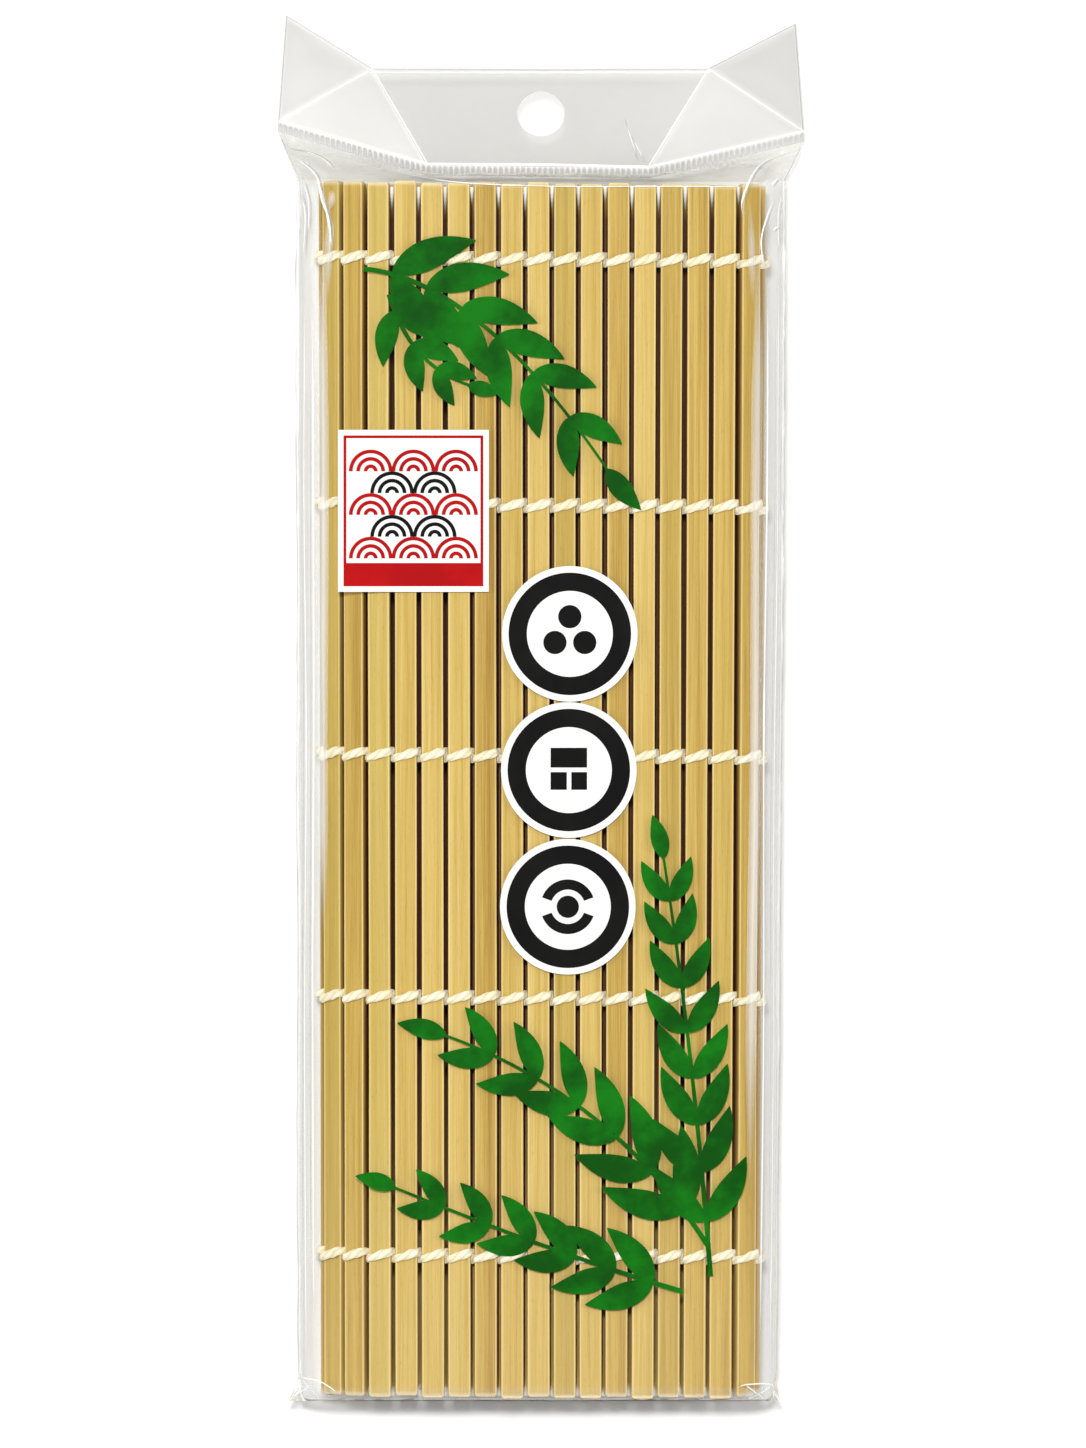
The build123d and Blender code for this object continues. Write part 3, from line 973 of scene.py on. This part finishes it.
def make_shoulder(name, sign):
    """Loose film from the tube's mouth to the seal; sign is 1 in front and -1 behind."""
    line = [end - up_header * seal_height for end in seal_tops]
    half = [place for place in ring if sign * (place[1] - middle_z) >= -0.001]
    half.sort(key=lambda place: (place[0], sign * place[1] * (1 if place[0] < 0 else -1)))
    film = Film()
    for step in range(shoulder_steps + 1):
        share = step / shoulder_steps
        path = smooth(share, 0, 1) * 0.5 + share * 0.5
        bulge = math.sin(math.pi * share)
        for index, place in enumerate(half):
            start = film_point(place, mouth_y)
            finish = along_line(line, index / (len(half) - 1))
            point = start.lerp(finish, share)
            point.z = start.z + (finish.z - start.z) * path
            belly = bulge * (start.z - middle_z) / (pouch_top - middle_z)
            point.y += abs(belly) * shoulder_belly
            ruck = wander(point.x * 0.16 + share, share * 1.3, sign * 3.0)
            point.z += sign * shoulder_ruck * ruck * bulge
            point.y += shoulder_ruck / 2 * ruck * bulge
            # Painted glints along the rucks' folds, and painted shade, darker towards the left
            crease = 0.3 * smooth(0.05 - abs(ruck), 0.0, 0.05) * bulge
            shade = 0.26 + 0.24 * smooth(-point.x, 30, 50)
            film.put(point, 0.16 + 0.14 * abs(ruck), crease, shade)
    film.faces = grid_faces(shoulder_steps + 1, len(half))
    turn_with_header(film.piece(name, loose_film, None, "clear_film", ["pouch_shoulder"]))
    return film


def make_seal():
    """The crimped seal: fine ribs along a strip, with painted highlights on the rib crests and along its
    upper rim.
    """
    film = Film()
    length = sum((b - a).length for a, b in zip(seal_tops, seal_tops[1:]))
    count = round(length / rib_pitch) * rib_steps
    for row in range(seal_rows):
        down = row / (seal_rows - 1)
        fade = smooth(min(down, 1 - down), 0.0, 0.2)
        for index in range(count + 1):
            top = along_line(seal_tops, index / count)
            wave = math.cos(2 * math.pi * index / rib_steps)
            point = top - up_header * (seal_height * down)
            point += out_of_header * (rib_depth / 2 * wave * fade)
            # Painted highlights on the rib crests, weaker towards the slanted ends; the haze is lower
            # towards the left
            rib_highlight_share = 1 - 0.55 * smooth(abs(top.x), 26, 50)
            rib_highlight_share *= 0.8 + 0.4 * wander(top.x * 0.35, down * 2.0, 6.0)
            dull = 0.2 * smooth(-top.x, 26, 40)
            crease = 0.6 * (1 - smooth(down, 0.0, 0.22)) + 0.5 * max(0, wave) * fade * rib_highlight_share
            film.put(point, 0.5 - dull + 0.16 * wave * fade * rib_highlight_share, crease)
    film.faces = grid_faces(seal_rows, count + 1)
    film.piece("seal_ribs", header_film, "header", "header_film", ["seal_band"])


def line_distance(point, a, b):
    """How far a point is from the line between a and b."""
    share = (point - a).dot(b - a) / (b - a).length_squared
    return (point - (a + (b - a) * min(1, max(0, share)))).length


def facet_point(point, normal, rims, seed):
    """A point of a facet, lifted a little where the film is loose, and its way to the rim."""
    rim = min(line_distance(point, a, b) for a, b in rims)
    loose = smooth(rim, 0.0, 5.0)
    return point + normal * (0.35 * loose * wander(point.x * 0.07, point.y * 0.1, seed)), rim


class Facets(Film):
    """The header's facets."""

    def add(self, point, normal, rims, look, shade=0.0):
        """Adds a point; look is haze, painted lightness at the foot and at the top, and a seed; shade is
        painted shade, stronger towards the top.
        """
        haze, pale_foot, pale_top, seed = look
        place, rim = facet_point(point, normal, rims, seed)
        up = smooth(point.y, min(a.y for a, b in rims), max(a.y for a, b in rims))
        pale = pale_foot + (pale_top - pale_foot) * up
        # Painted highlight along the facet's rims
        crease = 0.25 * math.exp(-((rim / 0.5) ** 2))
        self.put(place, haze, crease, shade * (0.7 + 0.3 * up), pale)

    def patch(self, corners, look, shade):
        """A three-cornered facet."""
        a, b, c = corners
        normal = (b - a).cross(c - a).normalized()
        rims = [(a, b), (b, c), (c, a)]
        first, rows, columns = len(self.points), 36, 56
        for row in range(rows + 1):
            for column in range(columns + 1):
                foot = a.lerp(b, column / columns)
                self.add(foot.lerp(c, row / rows), normal, rims, look, shade)
        self.faces += grid_faces(rows + 1, columns + 1, first=first)

    def panel(self, corners, hole, look):
        """The middle panel, in rings from the hang hole out to its rim."""
        normal = (corners[1] - corners[0]).cross(corners[3] - corners[0]).normalized()
        rims = list(zip(corners, corners[1:] + corners[:1]))
        across = (corners[1] - corners[0]).normalized()
        upward = normal.cross(across)
        angles = [2 * math.pi * step / 160 for step in range(160)]
        for corner in corners:
            ray = corner - hole
            angles.append(math.atan2(ray.dot(upward), ray.dot(across)) % (2 * math.pi))
        angles.sort()
        rings, first = 34, len(self.points)
        for ring in range(rings + 1):
            for angle in angles:
                ray = across * math.cos(angle) + upward * math.sin(angle)
                far = min(t for t in (ray_reach(hole, ray, normal, a, b) for a, b in rims) if t > 0)
                reach = hole_radius + (far - hole_radius) * (ring / rings) ** 1.2
                self.add(hole + ray * reach, normal, rims, look)
                # Painted highlight round the hang hole's rim
                self.marks["crease"][-1] = 0.5 if ring == 0 else 0.0
        self.faces += grid_faces(rings + 1, len(angles), closed=True, first=first)


def ray_reach(start, ray, normal, a, b):
    """How far a ray in a facet's plane goes before it meets the line through a and b."""
    outward = (b - a).cross(normal)
    slant = ray.dot(outward)
    return (a - start).dot(outward) / slant if slant > 0.0001 else 9999.0


def make_header():
    """The flat panel with its hang hole, and the two folded ears."""
    outer_left, inner_left, inner_right, outer_right = header_foot
    facets = Facets()
    panel = [inner_left, inner_right, crease_top_right, crease_top_left]
    # Each facet gets its own painted lightness, and the ears painted shade, standing in for how the
    # light falls on each tilted facet
    facets.panel(panel, on_header(0, hole_height), (0.47, 0.1, 0.1, 1.0))
    facets.patch([outer_left, inner_left, crease_top_left], (0.8, 0.85, 0.5, 2.0), 0.0)
    facets.patch([inner_right, outer_right, crease_top_right], (0.8, 0.6, 0.3, 3.0), 0.0)
    facets.patch([outer_left, crease_top_left, tip_left], (0.7, 0.15, 0.15, 4.0), 0.36)
    facets.patch([crease_top_right, outer_right, tip_right], (0.72, 0.15, 0.1, 5.0), 0.38)
    facets.piece("header_fold", header_film, "header", "header_film", ["header"])


class Lines(Film):
    """Fine raised lines in the film, as narrow ribbons that carry painted highlights of folds and glints
    and painted dark lines at rims.
    """

    def add(
        self, line, width, haze=0.9, crease=0.0, shade=0.0, fade=0.0, ups=None, open_start=False
    ):
        """A ribbon along points; fade is the share of its length that tapers at each end."""
        first = len(self.points)
        count = len(line)
        for index, point in enumerate(line):
            forward = (line[min(index + 1, count - 1)] - line[max(index - 1, 0)]).normalized()
            up = ups[index] if ups else Vector((0, 0, 1))
            across = forward.cross(up).normalized()
            share = index / (count - 1)
            nearest = 1 - share if open_start else min(share, 1 - share)
            strength = smooth(nearest, 0.0, fade) if fade else 1.0
            for side in (-1, 0, 1):
                reach = width / 2 * side * (0.3 + 0.7 * strength)
                body = strength * (1.0 if side == 0 else 0.35)
                place = point + across * reach + up * (0.03 * (1 - abs(side)))
                self.put(place, haze * body, crease * body, shade)
        self.faces += grid_faces(count, 3, first=first)


def between(a, b, count=24):
    """Points along a straight line."""
    return [a.lerp(b, step / count) for step in range(count + 1)]


def inward(point):
    """A small step from the header's rim towards its middle."""
    return (on_header(0, hole_height) - point).normalized() * 0.3


def make_header_lines():
    """Painted highlights along the folds between the facets and painted dark lines round the header's
    rims.
    """
    outer_left, inner_left, inner_right, outer_right = header_foot
    lift = Vector((0, 0, 0.12))
    lines = Lines()

    def rim_line(ends, width, **look):
        """A line just inside the header's rim."""
        lines.add([p + lift + inward(p) for p in between(*ends)], width, **look)

    # Painted highlights along the folds between the facets and along the header's foot
    for ends in (
        (inner_left, crease_top_left),
        (inner_right, crease_top_right),
        (outer_left, crease_top_left),
        (outer_right, crease_top_right),
    ):
        rim_line(ends, 0.42, crease=1.0)
    for ends in zip(header_foot, header_foot[1:]):
        rim_line(ends, 0.5, crease=1.0)
    # A softer painted highlight just under the top fold
    drop = Vector((0, -0.8, 0))
    lines.add([p + lift + drop for p in between(crease_top_left, crease_top_right)], 0.4, crease=0.5)
    # Painted dark lines just inside the header's rims
    for ends in (
        (crease_top_left, crease_top_right),
        (crease_top_left, tip_left),
        (tip_left, outer_left),
        (crease_top_right, tip_right),
        (tip_right, outer_right),
    ):
        rim_line(ends, 0.2, shade=0.8)
    # Painted highlights of a fold near the left ear and of two on the panel's right
    drawn = Vector((1.1, -0.6, 0))
    lines.add([p + lift + drawn for p in between(outer_left, tip_left)], 0.25, crease=0.7, fade=0.2)
    for start, finish in (((19.2, 124.6), (16.6, 132.8)), ((20.6, 124.4), (17.9, 129.4))):
        a, b = (on_header(x, y - seal_y) for x, y in (start, finish))
        lines.add([p + lift for p in between(a, b)], 0.3, crease=0.7, fade=0.4)
    lines.piece("header_lines", header_film, "header", "header_film")


shoulder_skins = [make_shoulder("shoulder_front", 1), make_shoulder("shoulder_back", -1)]
make_seal()
make_header()
make_header_lines()

# Painted glints, painted sheen and painted dark lines along the wrinkles of the body and the shoulder
# film: places on the film, from the front
corner_wrinkle_glints = (
    (
        (50.4, 126.7), (47.2, 125.7), (44.2, 124.3), (42.3, 122.4),
        (40.9, 119.8), (39.7, 116.0), (40.1, 112.3),
    ),
    ((51.5, 128.3), (50.2, 123.5), (47.9, 118.6), (46.9, 113.7), (47.1, 106.0)),
    ((46.3, 117.6), (44.8, 113.7), (43.6, 108.7), (44.2, 102.4)),
    ((48.8, 121.5), (47.6, 120.4), (46.6, 121.2)),
    ((49.0, 123.3), (48.3, 121.6), (47.6, 120.3)),
    ((45.4, 119.1), (46.6, 120.8), (47.5, 120.0)),
    ((45.8, 110.3), (46.5, 111.3), (47.1, 111.0)),
    ((-50.2, 126.5), (-47.6, 124.5), (-44.4, 121.4), (-43.3, 116.6), (-41.7, 111.7), (-41.9, 104.0)),
    ((-49.2, 122.5), (-47.7, 118.6), (-46.6, 113.7), (-47.0, 104.7)),
    ((-50.8, 124.0), (-48.9, 122.2), (-47.2, 120.7), (-45.9, 116.0), (-46.1, 110.0)),
    ((-51.6, 128.4), (-49.6, 127.0), (-46.4, 126.4), (-42.9, 124.8), (-40.4, 122.1)),
    ((-44.0, 120.5), (-42.5, 115.0), (-41.2, 107.0)),
)
shoulder_glint_sweep = (
    (-42.7, 128.3), (-36, 125.0), (-27, 121.9), (-15, 120.0),
    (3.8, 119.3), (24, 119.3), (43, 119.2),
)
side_glint_streaks = (
    ((44.9, 104), (45.1, 60), (44.8, 10), (45.2, -50), (44.9, -112)),
    ((47.0, 108), (47.2, 50), (46.9, -10), (47.2, -60), (47.0, -117)),
    ((-46.6, 104), (-46.9, 60), (-46.5, 10), (-46.9, -50), (-46.6, -117)),
    ((-45.2, 96), (-45.0, 20), (-45.3, -40), (-45.1, -108)),
)
broad_sheen_streaks = (
    ((42.4, 114), (43.0, 96), (42.9, 60), (43.1, 10), (42.7, -40), (42.6, -80)),
    ((-42.6, 112), (-43.2, 90), (-43.0, 60), (-43.3, 10), (-43.1, -30)),
)
corner_sheen_veils = (
    ((41.3, 117.2), (41.5, 111.0), (41.8, 104.0), (42.0, 95.0)),
    ((-41.6, 117.6), (-41.9, 112.0), (-42.0, 104.0), (-42.3, 95.0)),
    ((-41.4, 118.8), (-41.3, 117.0), (-41.7, 114.6)),
)
foot_creases = (
    ((-47.9, -116.0), (-48.8, -118.4), (-49.6, -120.5)),
    ((-47.9, -116.1), (-45.8, -118.4), (-43.7, -120.5)),
    ((-49.5, -120.2), (-47.2, -118.6), (-45.6, -117.4)),
    ((-47.8, -116.1), (-43.9, -116.8), (-40.4, -119.0)),
    ((42.1, -117.5), (44.4, -119.2), (46.8, -120.9)),
    ((41.1, -120.9), (44.8, -119.3), (47.4, -117.7)),
    ((40.5, -118.0), (42.1, -117.4), (47.4, -117.6), (47.9, -120.8)),
)
foot_sheen_veils = (
    ((-48.9, -118.9), (-45.5, -118.6), (-41.6, -119.2)),
    ((47.4, -119.3), (44.4, -119.2), (41.2, -119.4)),
)
shoulder_rim_shade = (
    ((-51.4, 129.2), (-50.9, 127.6), (-49.4, 124.2), (-47.8, 120.6), (-47.6, 116.0)),
    ((51.4, 127.4), (51.0, 126.2), (49.5, 123.2), (47.8, 120.4), (47.6, 114.0)),
)
film_offset = 0.05
glint_ends = ((119.2, 114.2, 0.6), (-119.6, -117.0, 0.45))


def curve_share(before, a, b, after, t):
    """One coordinate at a share t of the way from a to b, on a smooth line through all four."""
    bend = (2 * before - 5 * a + 4 * b - after) * t * t
    return 0.5 * (2 * a + (b - before) * t + bend + (3 * a - before - 3 * b + after) * t**3)


def curve_through(places, step=0.8):
    """A smooth line through places, in steps of about the same length."""
    line = []
    count = len(places)
    for index in range(count - 1):
        a, b = places[index], places[index + 1]
        before = places[max(index - 1, 0)]
        after = places[min(index + 2, count - 1)]
        steps = max(2, round(math.dist(a, b) / step))
        for number in range(steps):
            t = number / steps
            line.append([curve_share(before[k], a[k], b[k], after[k], t) for k in (0, 1)])
    line.append(places[-1])
    return line


def make_film_glints():
    """Ribbons of painted highlights, painted sheen and painted dark lines that follow the pouch's
    surface from the front.
    """
    sheets = (body_skin, *shoulder_skins, foot_skin)
    skins = [BVHTree.FromPolygons(sheet.points, sheet.faces) for sheet in sheets]

    def lay(places):
        """The film's points and normals under places, seen from the front."""
        points, ups = [], []
        for x, y in places:
            x = film_x(x, y)
            hits = [skin.ray_cast(Vector((x, y, 60)), Vector((0, 0, -1))) for skin in skins]
            hits = [(hit[0], hit[1]) for hit in hits if hit[0] is not None]
            if hits:
                place, up = max(hits, key=lambda hit: hit[0].z)
                up = up if up.z > 0 else -up
                points.append(place + up * film_offset)
                ups.append(up)
        return points, ups

    lines = Lines()

    def ribbon(places, width, step=0.8, shift=(0, 0), **look):
        """A ribbon along a smooth line through places, moved sideways by a shift."""
        line = [(x + shift[0], y + shift[1]) for x, y in curve_through(places, step)]
        points, ups = lay(line)
        lines.add(points, width, ups=ups, **look)

    # Painted glints along the corner wrinkles, each with a painted dark line beside it
    for places in corner_wrinkle_glints:
        ribbon(places, 0.36, haze=0.8, crease=1.0, fade=0.3)
        ribbon(places, 0.5, shift=(0.45, -0.1), haze=0.5, shade=1.0, fade=0.3)
    # Painted dark lines along the shoulder's outer rims, and a painted glint across the slat tops
    for places in shoulder_rim_shade:
        ribbon(places, 0.3, haze=0.8, shade=1.0, fade=0.1)
    ribbon(shoulder_glint_sweep, 0.26, haze=0.45, crease=0.35, fade=0.12)
    # Painted glints down the turned sides, each with a painted dark line beside it
    for places in side_glint_streaks:
        ribbon(places, 0.5, 2.0, haze=0.55, crease=0.75, fade=0.12)
        ribbon(places, 0.4, 2.0, (-0.5, 0), haze=0.3, shade=0.8, fade=0.2)
    # Painted sheen over the outermost slats, the top corners and the foot, and painted glints along the
    # foot's creases
    for places in broad_sheen_streaks:
        ribbon(places, 2.4, 2.0, haze=0.42, crease=0.08, fade=0.2)
    for places in corner_sheen_veils:
        ribbon(places, 1.6, 0.5, haze=0.3, crease=0.1, fade=0.45)
    for places in foot_sheen_veils:
        ribbon(places, 2.6, 0.5, haze=0.4, fade=0.3)
    for places in foot_creases:
        ribbon(places, 0.28, 0.5, haze=0.7, crease=0.9, fade=0.15)
    # Painted glints in the gaps at both ends of the front slats
    first_front = back_count + len(wide_turn)
    for slat in range(first_front - 1, first_front + front_count):
        x = hinges[slat + 1].x
        for near, far, glint in glint_ends:
            reach = (far - near) * (0.7 + 0.5 * scatter(slat, 8))
            points, ups = lay([(x, near + reach * step / 10) for step in range(11)])
            lines.add(points, 0.8, haze=glint, crease=0.1, fade=0.95, ups=ups, open_start=True)
    turn_with_header(lines.piece("film_glints", clear_film, None, "clear_film"))


make_film_glints()


# Prints on the front film: plain motifs of the photograph's colours and scale
def on_film(x, y, layer):
    """A point just above the front film; a higher layer covers a lower one."""
    r = film_corner - film_inset
    over = min(r, max(0.0, abs(x) - (film_x(half_width, y) - r)))
    z = pouch_top - r + math.sqrt(r * r - over * over)
    return Vector((x, y, z - film_dent(x, pouch_top, y) + print_lift + print_layer * layer))


def bent_line(start, bend, finish, t):
    """Place and direction at a share t of a curve from start past bend to finish."""
    s = 1 - t
    place = [s**2 * start[k] + 2 * t * s * bend[k] + t * t * finish[k] for k in (0, 1)]
    return place, [s * (bend[k] - start[k]) + t * (finish[k] - bend[k]) for k in (0, 1)]


class Print:
    """Shapes of one ink, gathered into one piece."""

    def __init__(self, name, ink, layer):
        self.name, self.ink, self.layer = name, ink, layer
        self.points, self.faces = [], []
        self.strips = 0

    def strip(self, rims, columns=4):
        """A shape between two rims, given as pairs of points along it."""
        first = len(self.points)
        self.strips += 1
        for a, b in rims:
            for column in range(columns + 1):
                share = column / columns
                x = a[0] + (b[0] - a[0]) * share
                y = a[1] + (b[1] - a[1]) * share
                self.points.append(on_film(x, y, self.layer + self.strips * strip_layer))
        self.faces += grid_faces(len(rims), columns + 1, first=first)

    def ring(self, x, y, inner, outer, start=0, turn=360, steps=72):
        """A ring or a part of one; an inner radius of 0 makes it a disc."""
        rims = []
        for step in range(steps + 1):
            angle = math.radians(start + turn * step / steps)
            c, s = math.cos(angle), math.sin(angle)
            rims.append(((x + inner * c, y + inner * s), (x + outer * c, y + outer * s)))
        self.strip(rims, 6)

    def block(self, left, right, low, high):
        """An upright rectangle."""
        steps = 12
        rims = []
        for step in range(steps + 1):
            y = low + (high - low) * step / steps
            rims.append(((left, y), (right, y)))
        self.strip(rims, 10)

    def leaf(self, x, y, angle, length, width, curl):
        """A pointed leaf from its stalk, bent to one side by curl degrees."""
        steps = 22
        rims = []
        heading_angle = angle
        for step in range(steps + 1):
            share = step / steps
            half = width / 2 * math.sin(math.pi * share**0.8) ** 0.9 + 0.05
            turn = math.radians(heading_angle)
            nx, ny = -math.sin(turn), math.cos(turn)
            rims.append(((x + nx * half, y + ny * half), (x - nx * half, y - ny * half)))
            x += math.cos(turn) * length / steps
            y += math.sin(turn) * length / steps
            heading_angle += curl / steps
        self.strip(rims)

    def stem(self, start, bend, finish, width, tip_width):
        """A stem along a curve from start past bend to finish."""
        steps = 30
        rims = []
        for step in range(steps + 1):
            t = step / steps
            (x, y), (dx, dy) = bent_line(start, bend, finish, t)
            size = math.hypot(dx, dy)
            half = (width + (tip_width - width) * t) / 2
            aside, along = dy / size * half, dx / size * half
            rims.append(((x - aside, y + along), (x + aside, y - along)))
        self.strip(rims, 2)

    def finish(self):
        mesh_piece(self.name, self.points, self.faces, self.ink, "pouch")


def rimmed_slice(place):
    """The dark rim of a slice at a place, which it gives back."""
    black.ring(*place, slice_radius - slice_rim_inner, slice_radius - slice_rim)
    return place


def sprig(ink, start, bend, finish, pairs, leaf_length, leaf_width, splay):
    """A stem with pairs of leaves, smaller towards its tip."""
    ink.stem(start, bend, finish, 1.0, 0.5)
    for pair in range(pairs + 1):
        t = 0.12 + 0.86 * pair / pairs
        (x, y), (dx, dy) = bent_line(start, bend, finish, t)
        ahead = math.degrees(math.atan2(dy, dx))
        size = leaf_length * (1 - 0.45 * t)
        broad = leaf_width * (1 - 0.35 * t)
        if pair == pairs:
            ink.leaf(x, y, ahead, size, broad, 12)
            continue
        for side in (1, -1):
            play = 14 * (scatter(pair, side + 5) - 0.5)
            ink.leaf(x, y, ahead + side * splay + play, size, broad, -side * 24)


leaves = Print("print_leaves", green_ink, 1)
sprig(leaves, (-35, 103), (-12, 101), (14, 62), 6, 19, 6.2, 42)
sprig(leaves, (-30, 98), (-26, 84), (-14, 80), 3, 12, 4.6, 40)
sprig(leaves, (33.5, -96), (30, -50), (24, -12), 8, 16, 5.2, 44)
sprig(leaves, (33, -90), (14, -60), (-20, -48), 6, 18, 5.8, 42)
sprig(leaves, (28, -99), (4, -92), (-30, -78), 6, 15, 5.2, 40)
leaves.finish()

label_left, label_right, label_low, label_high = -40.1, -10.3, 39.2, 71.2
label_rim = 1.1
label_line = 0.55
band_height = 4.6
slice_places = ((5.7, 30.9), (5.5, 4.0), (5.3, -23.0))
slice_radius = 13.4
slice_rim = 1.3
slice_rim_inner = 4.9
dot_reach = 3.4
dot_radius = 2.3
slice_blocks = ((-3.6, 3.6, 0.5, 4.4), (-3.6, -0.4, -3.9, -0.4), (0.5, 3.6, -3.9, -0.4))
core_radius = 2.2
arc_inner = 3.4
arc_outer = 5.4

white = Print("print_white", white_ink, 0)
white.block(label_left, label_right, label_low, label_high)
for x, y in slice_places:
    white.ring(x, y, 0, slice_radius)
white.finish()

red = Print("print_red", red_ink, 2)
frame_left, frame_right = label_left + label_rim, label_right - label_rim
frame_low, frame_high = label_low + label_rim, label_high - label_rim
red.block(frame_left, frame_left + label_line, frame_low, frame_high)
red.block(frame_right - label_line, frame_right, frame_low, frame_high)
red.block(frame_left, frame_right, frame_high - label_line, frame_high)
red.block(frame_left, frame_right, frame_low, frame_low + band_height)
wave_radius = 4.3
wave_columns = 3
wave_step = (frame_right - frame_left - 2 * label_line - 1.2) / wave_columns
wave_left = frame_left + label_line + 0.6
wave_floor = frame_low + band_height + 0.9
black = Print("print_black", black_ink, 2)
for wave_row in range(5):
    shift = wave_step / 2 if wave_row % 2 else 0
    for column in range(wave_columns - wave_row % 2):
        x = wave_left + shift + wave_step * (column + 0.5)
        y = wave_floor + wave_row * wave_radius
        ink = black if wave_row % 2 else red
        for outer in (1.0, 0.66, 0.32):
            ink.ring(x, y, wave_radius * (outer - 0.17), wave_radius * outer, 0, 180, 40)
red.finish()
x, y = rimmed_slice(slice_places[0])
for turn in range(3):
    angle = math.radians(90 + 120 * turn)
    black.ring(x + dot_reach * math.cos(angle), y + dot_reach * math.sin(angle), 0, dot_radius, steps=36)
x, y = rimmed_slice(slice_places[1])
for left, right, bottom, top in slice_blocks:
    black.block(x + left, x + right, y + bottom, y + top)
x, y = rimmed_slice(slice_places[2])
black.ring(x, y, 0, core_radius, steps=36)
for turn in (20, 200):
    black.ring(x, y, arc_inner, arc_outer, turn, 140, 30)
black.finish()

# Floor, light and camera
floor_mesh = bpy.data.meshes.new("floor")
floor_size = 3.0
floor_level = -0.0002
corners = ((-1, -1), (1, -1), (1, 1), (-1, 1))
floor_corners = [(x * floor_size, y * floor_size, floor_level) for x, y in corners]
floor_mesh.from_pydata(floor_corners, [], [(0, 1, 2, 3)])
floor = bpy.data.objects.new("floor", floor_mesh)
bpy.context.scene.collection.objects.link(floor)
n = Nodes(bpy.data.materials.new("floor"))
path = n.add("ShaderNodeLightPath")
seen = n.math("MAXIMUM", path.outputs["Is Camera Ray"], path.outputs["Is Glossy Ray"])
seen = n.math("MAXIMUM", seen, path.outputs["Is Transmission Ray"])
paper = n.shader("ShaderNodeBsdfDiffuse", Color=(0.96, 0.96, 0.96, 1))
glow = n.shader("ShaderNodeEmission", Color=(1, 1, 1, 1), Strength=1.0)
away = n.add("ShaderNodeVectorMath", {0: n.place()}, operation="LENGTH").outputs["Value"]
glow_share = n.math("MULTIPLY_ADD", n.ramp(away, 0.22, 0.5), 0.95, 0.05)
paper_glow = n.blend_shaders(n.math("MULTIPLY", seen, glow_share), paper, glow)
floor_mesh.materials.append(n.finish(paper_glow))
floor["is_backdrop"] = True

world = bpy.data.worlds.new("studio")
bpy.context.scene.world = world
n = Nodes(world)
to_camera = n.add("ShaderNodeLightPath").outputs["Is Camera Ray"]
soft = n.shader("ShaderNodeBackground", Strength=0.38)
backdrop = n.shader("ShaderNodeBackground", Color=(1, 1, 1, 1))
n.add("ShaderNodeOutputWorld", {"Surface": n.blend_shaders(to_camera, soft, backdrop)})


def lamp(name, place, target, width, height, power):
    """A soft box at a place in metres, turned to a target."""
    data = bpy.data.lights.new(name, "AREA")
    data.shape = "RECTANGLE"
    data.size, data.size_y = width, height
    data.energy = power
    thing = bpy.data.objects.new(name, data)
    bpy.context.scene.collection.objects.link(thing)
    thing.location = place
    thing.rotation_mode = "QUATERNION"
    thing.rotation_quaternion = (Vector(target) - Vector(place)).to_track_quat("-Z", "Y")


middle = (0, 0.01, 0.01)
lamp("key", (-0.08, 0.42, 2.6), middle, 0.28, 0.26, 46.0)
lamp("left", (-0.95, 0.1, 0.55), middle, 0.16, 0.9, 4.0)
lamp("right", (0.95, 0.0, 0.6), middle, 0.16, 0.9, 3.5)

camera_data = bpy.data.cameras.new("camera")
camera = bpy.data.objects.new("camera", camera_data)
bpy.context.scene.collection.objects.link(camera)
bpy.context.scene.camera = camera
frame_height = 0.286
camera_distance = 4.0
face_z = pouch_top * mm
camera_data.sensor_width = 36
camera_data.lens = 36 * camera_distance / frame_height
camera_data.clip_end = 20
camera.location = (0.0004, 0.0131, face_z + camera_distance)

bpy.context.scene.view_settings.view_transform = "Standard"

low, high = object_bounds()
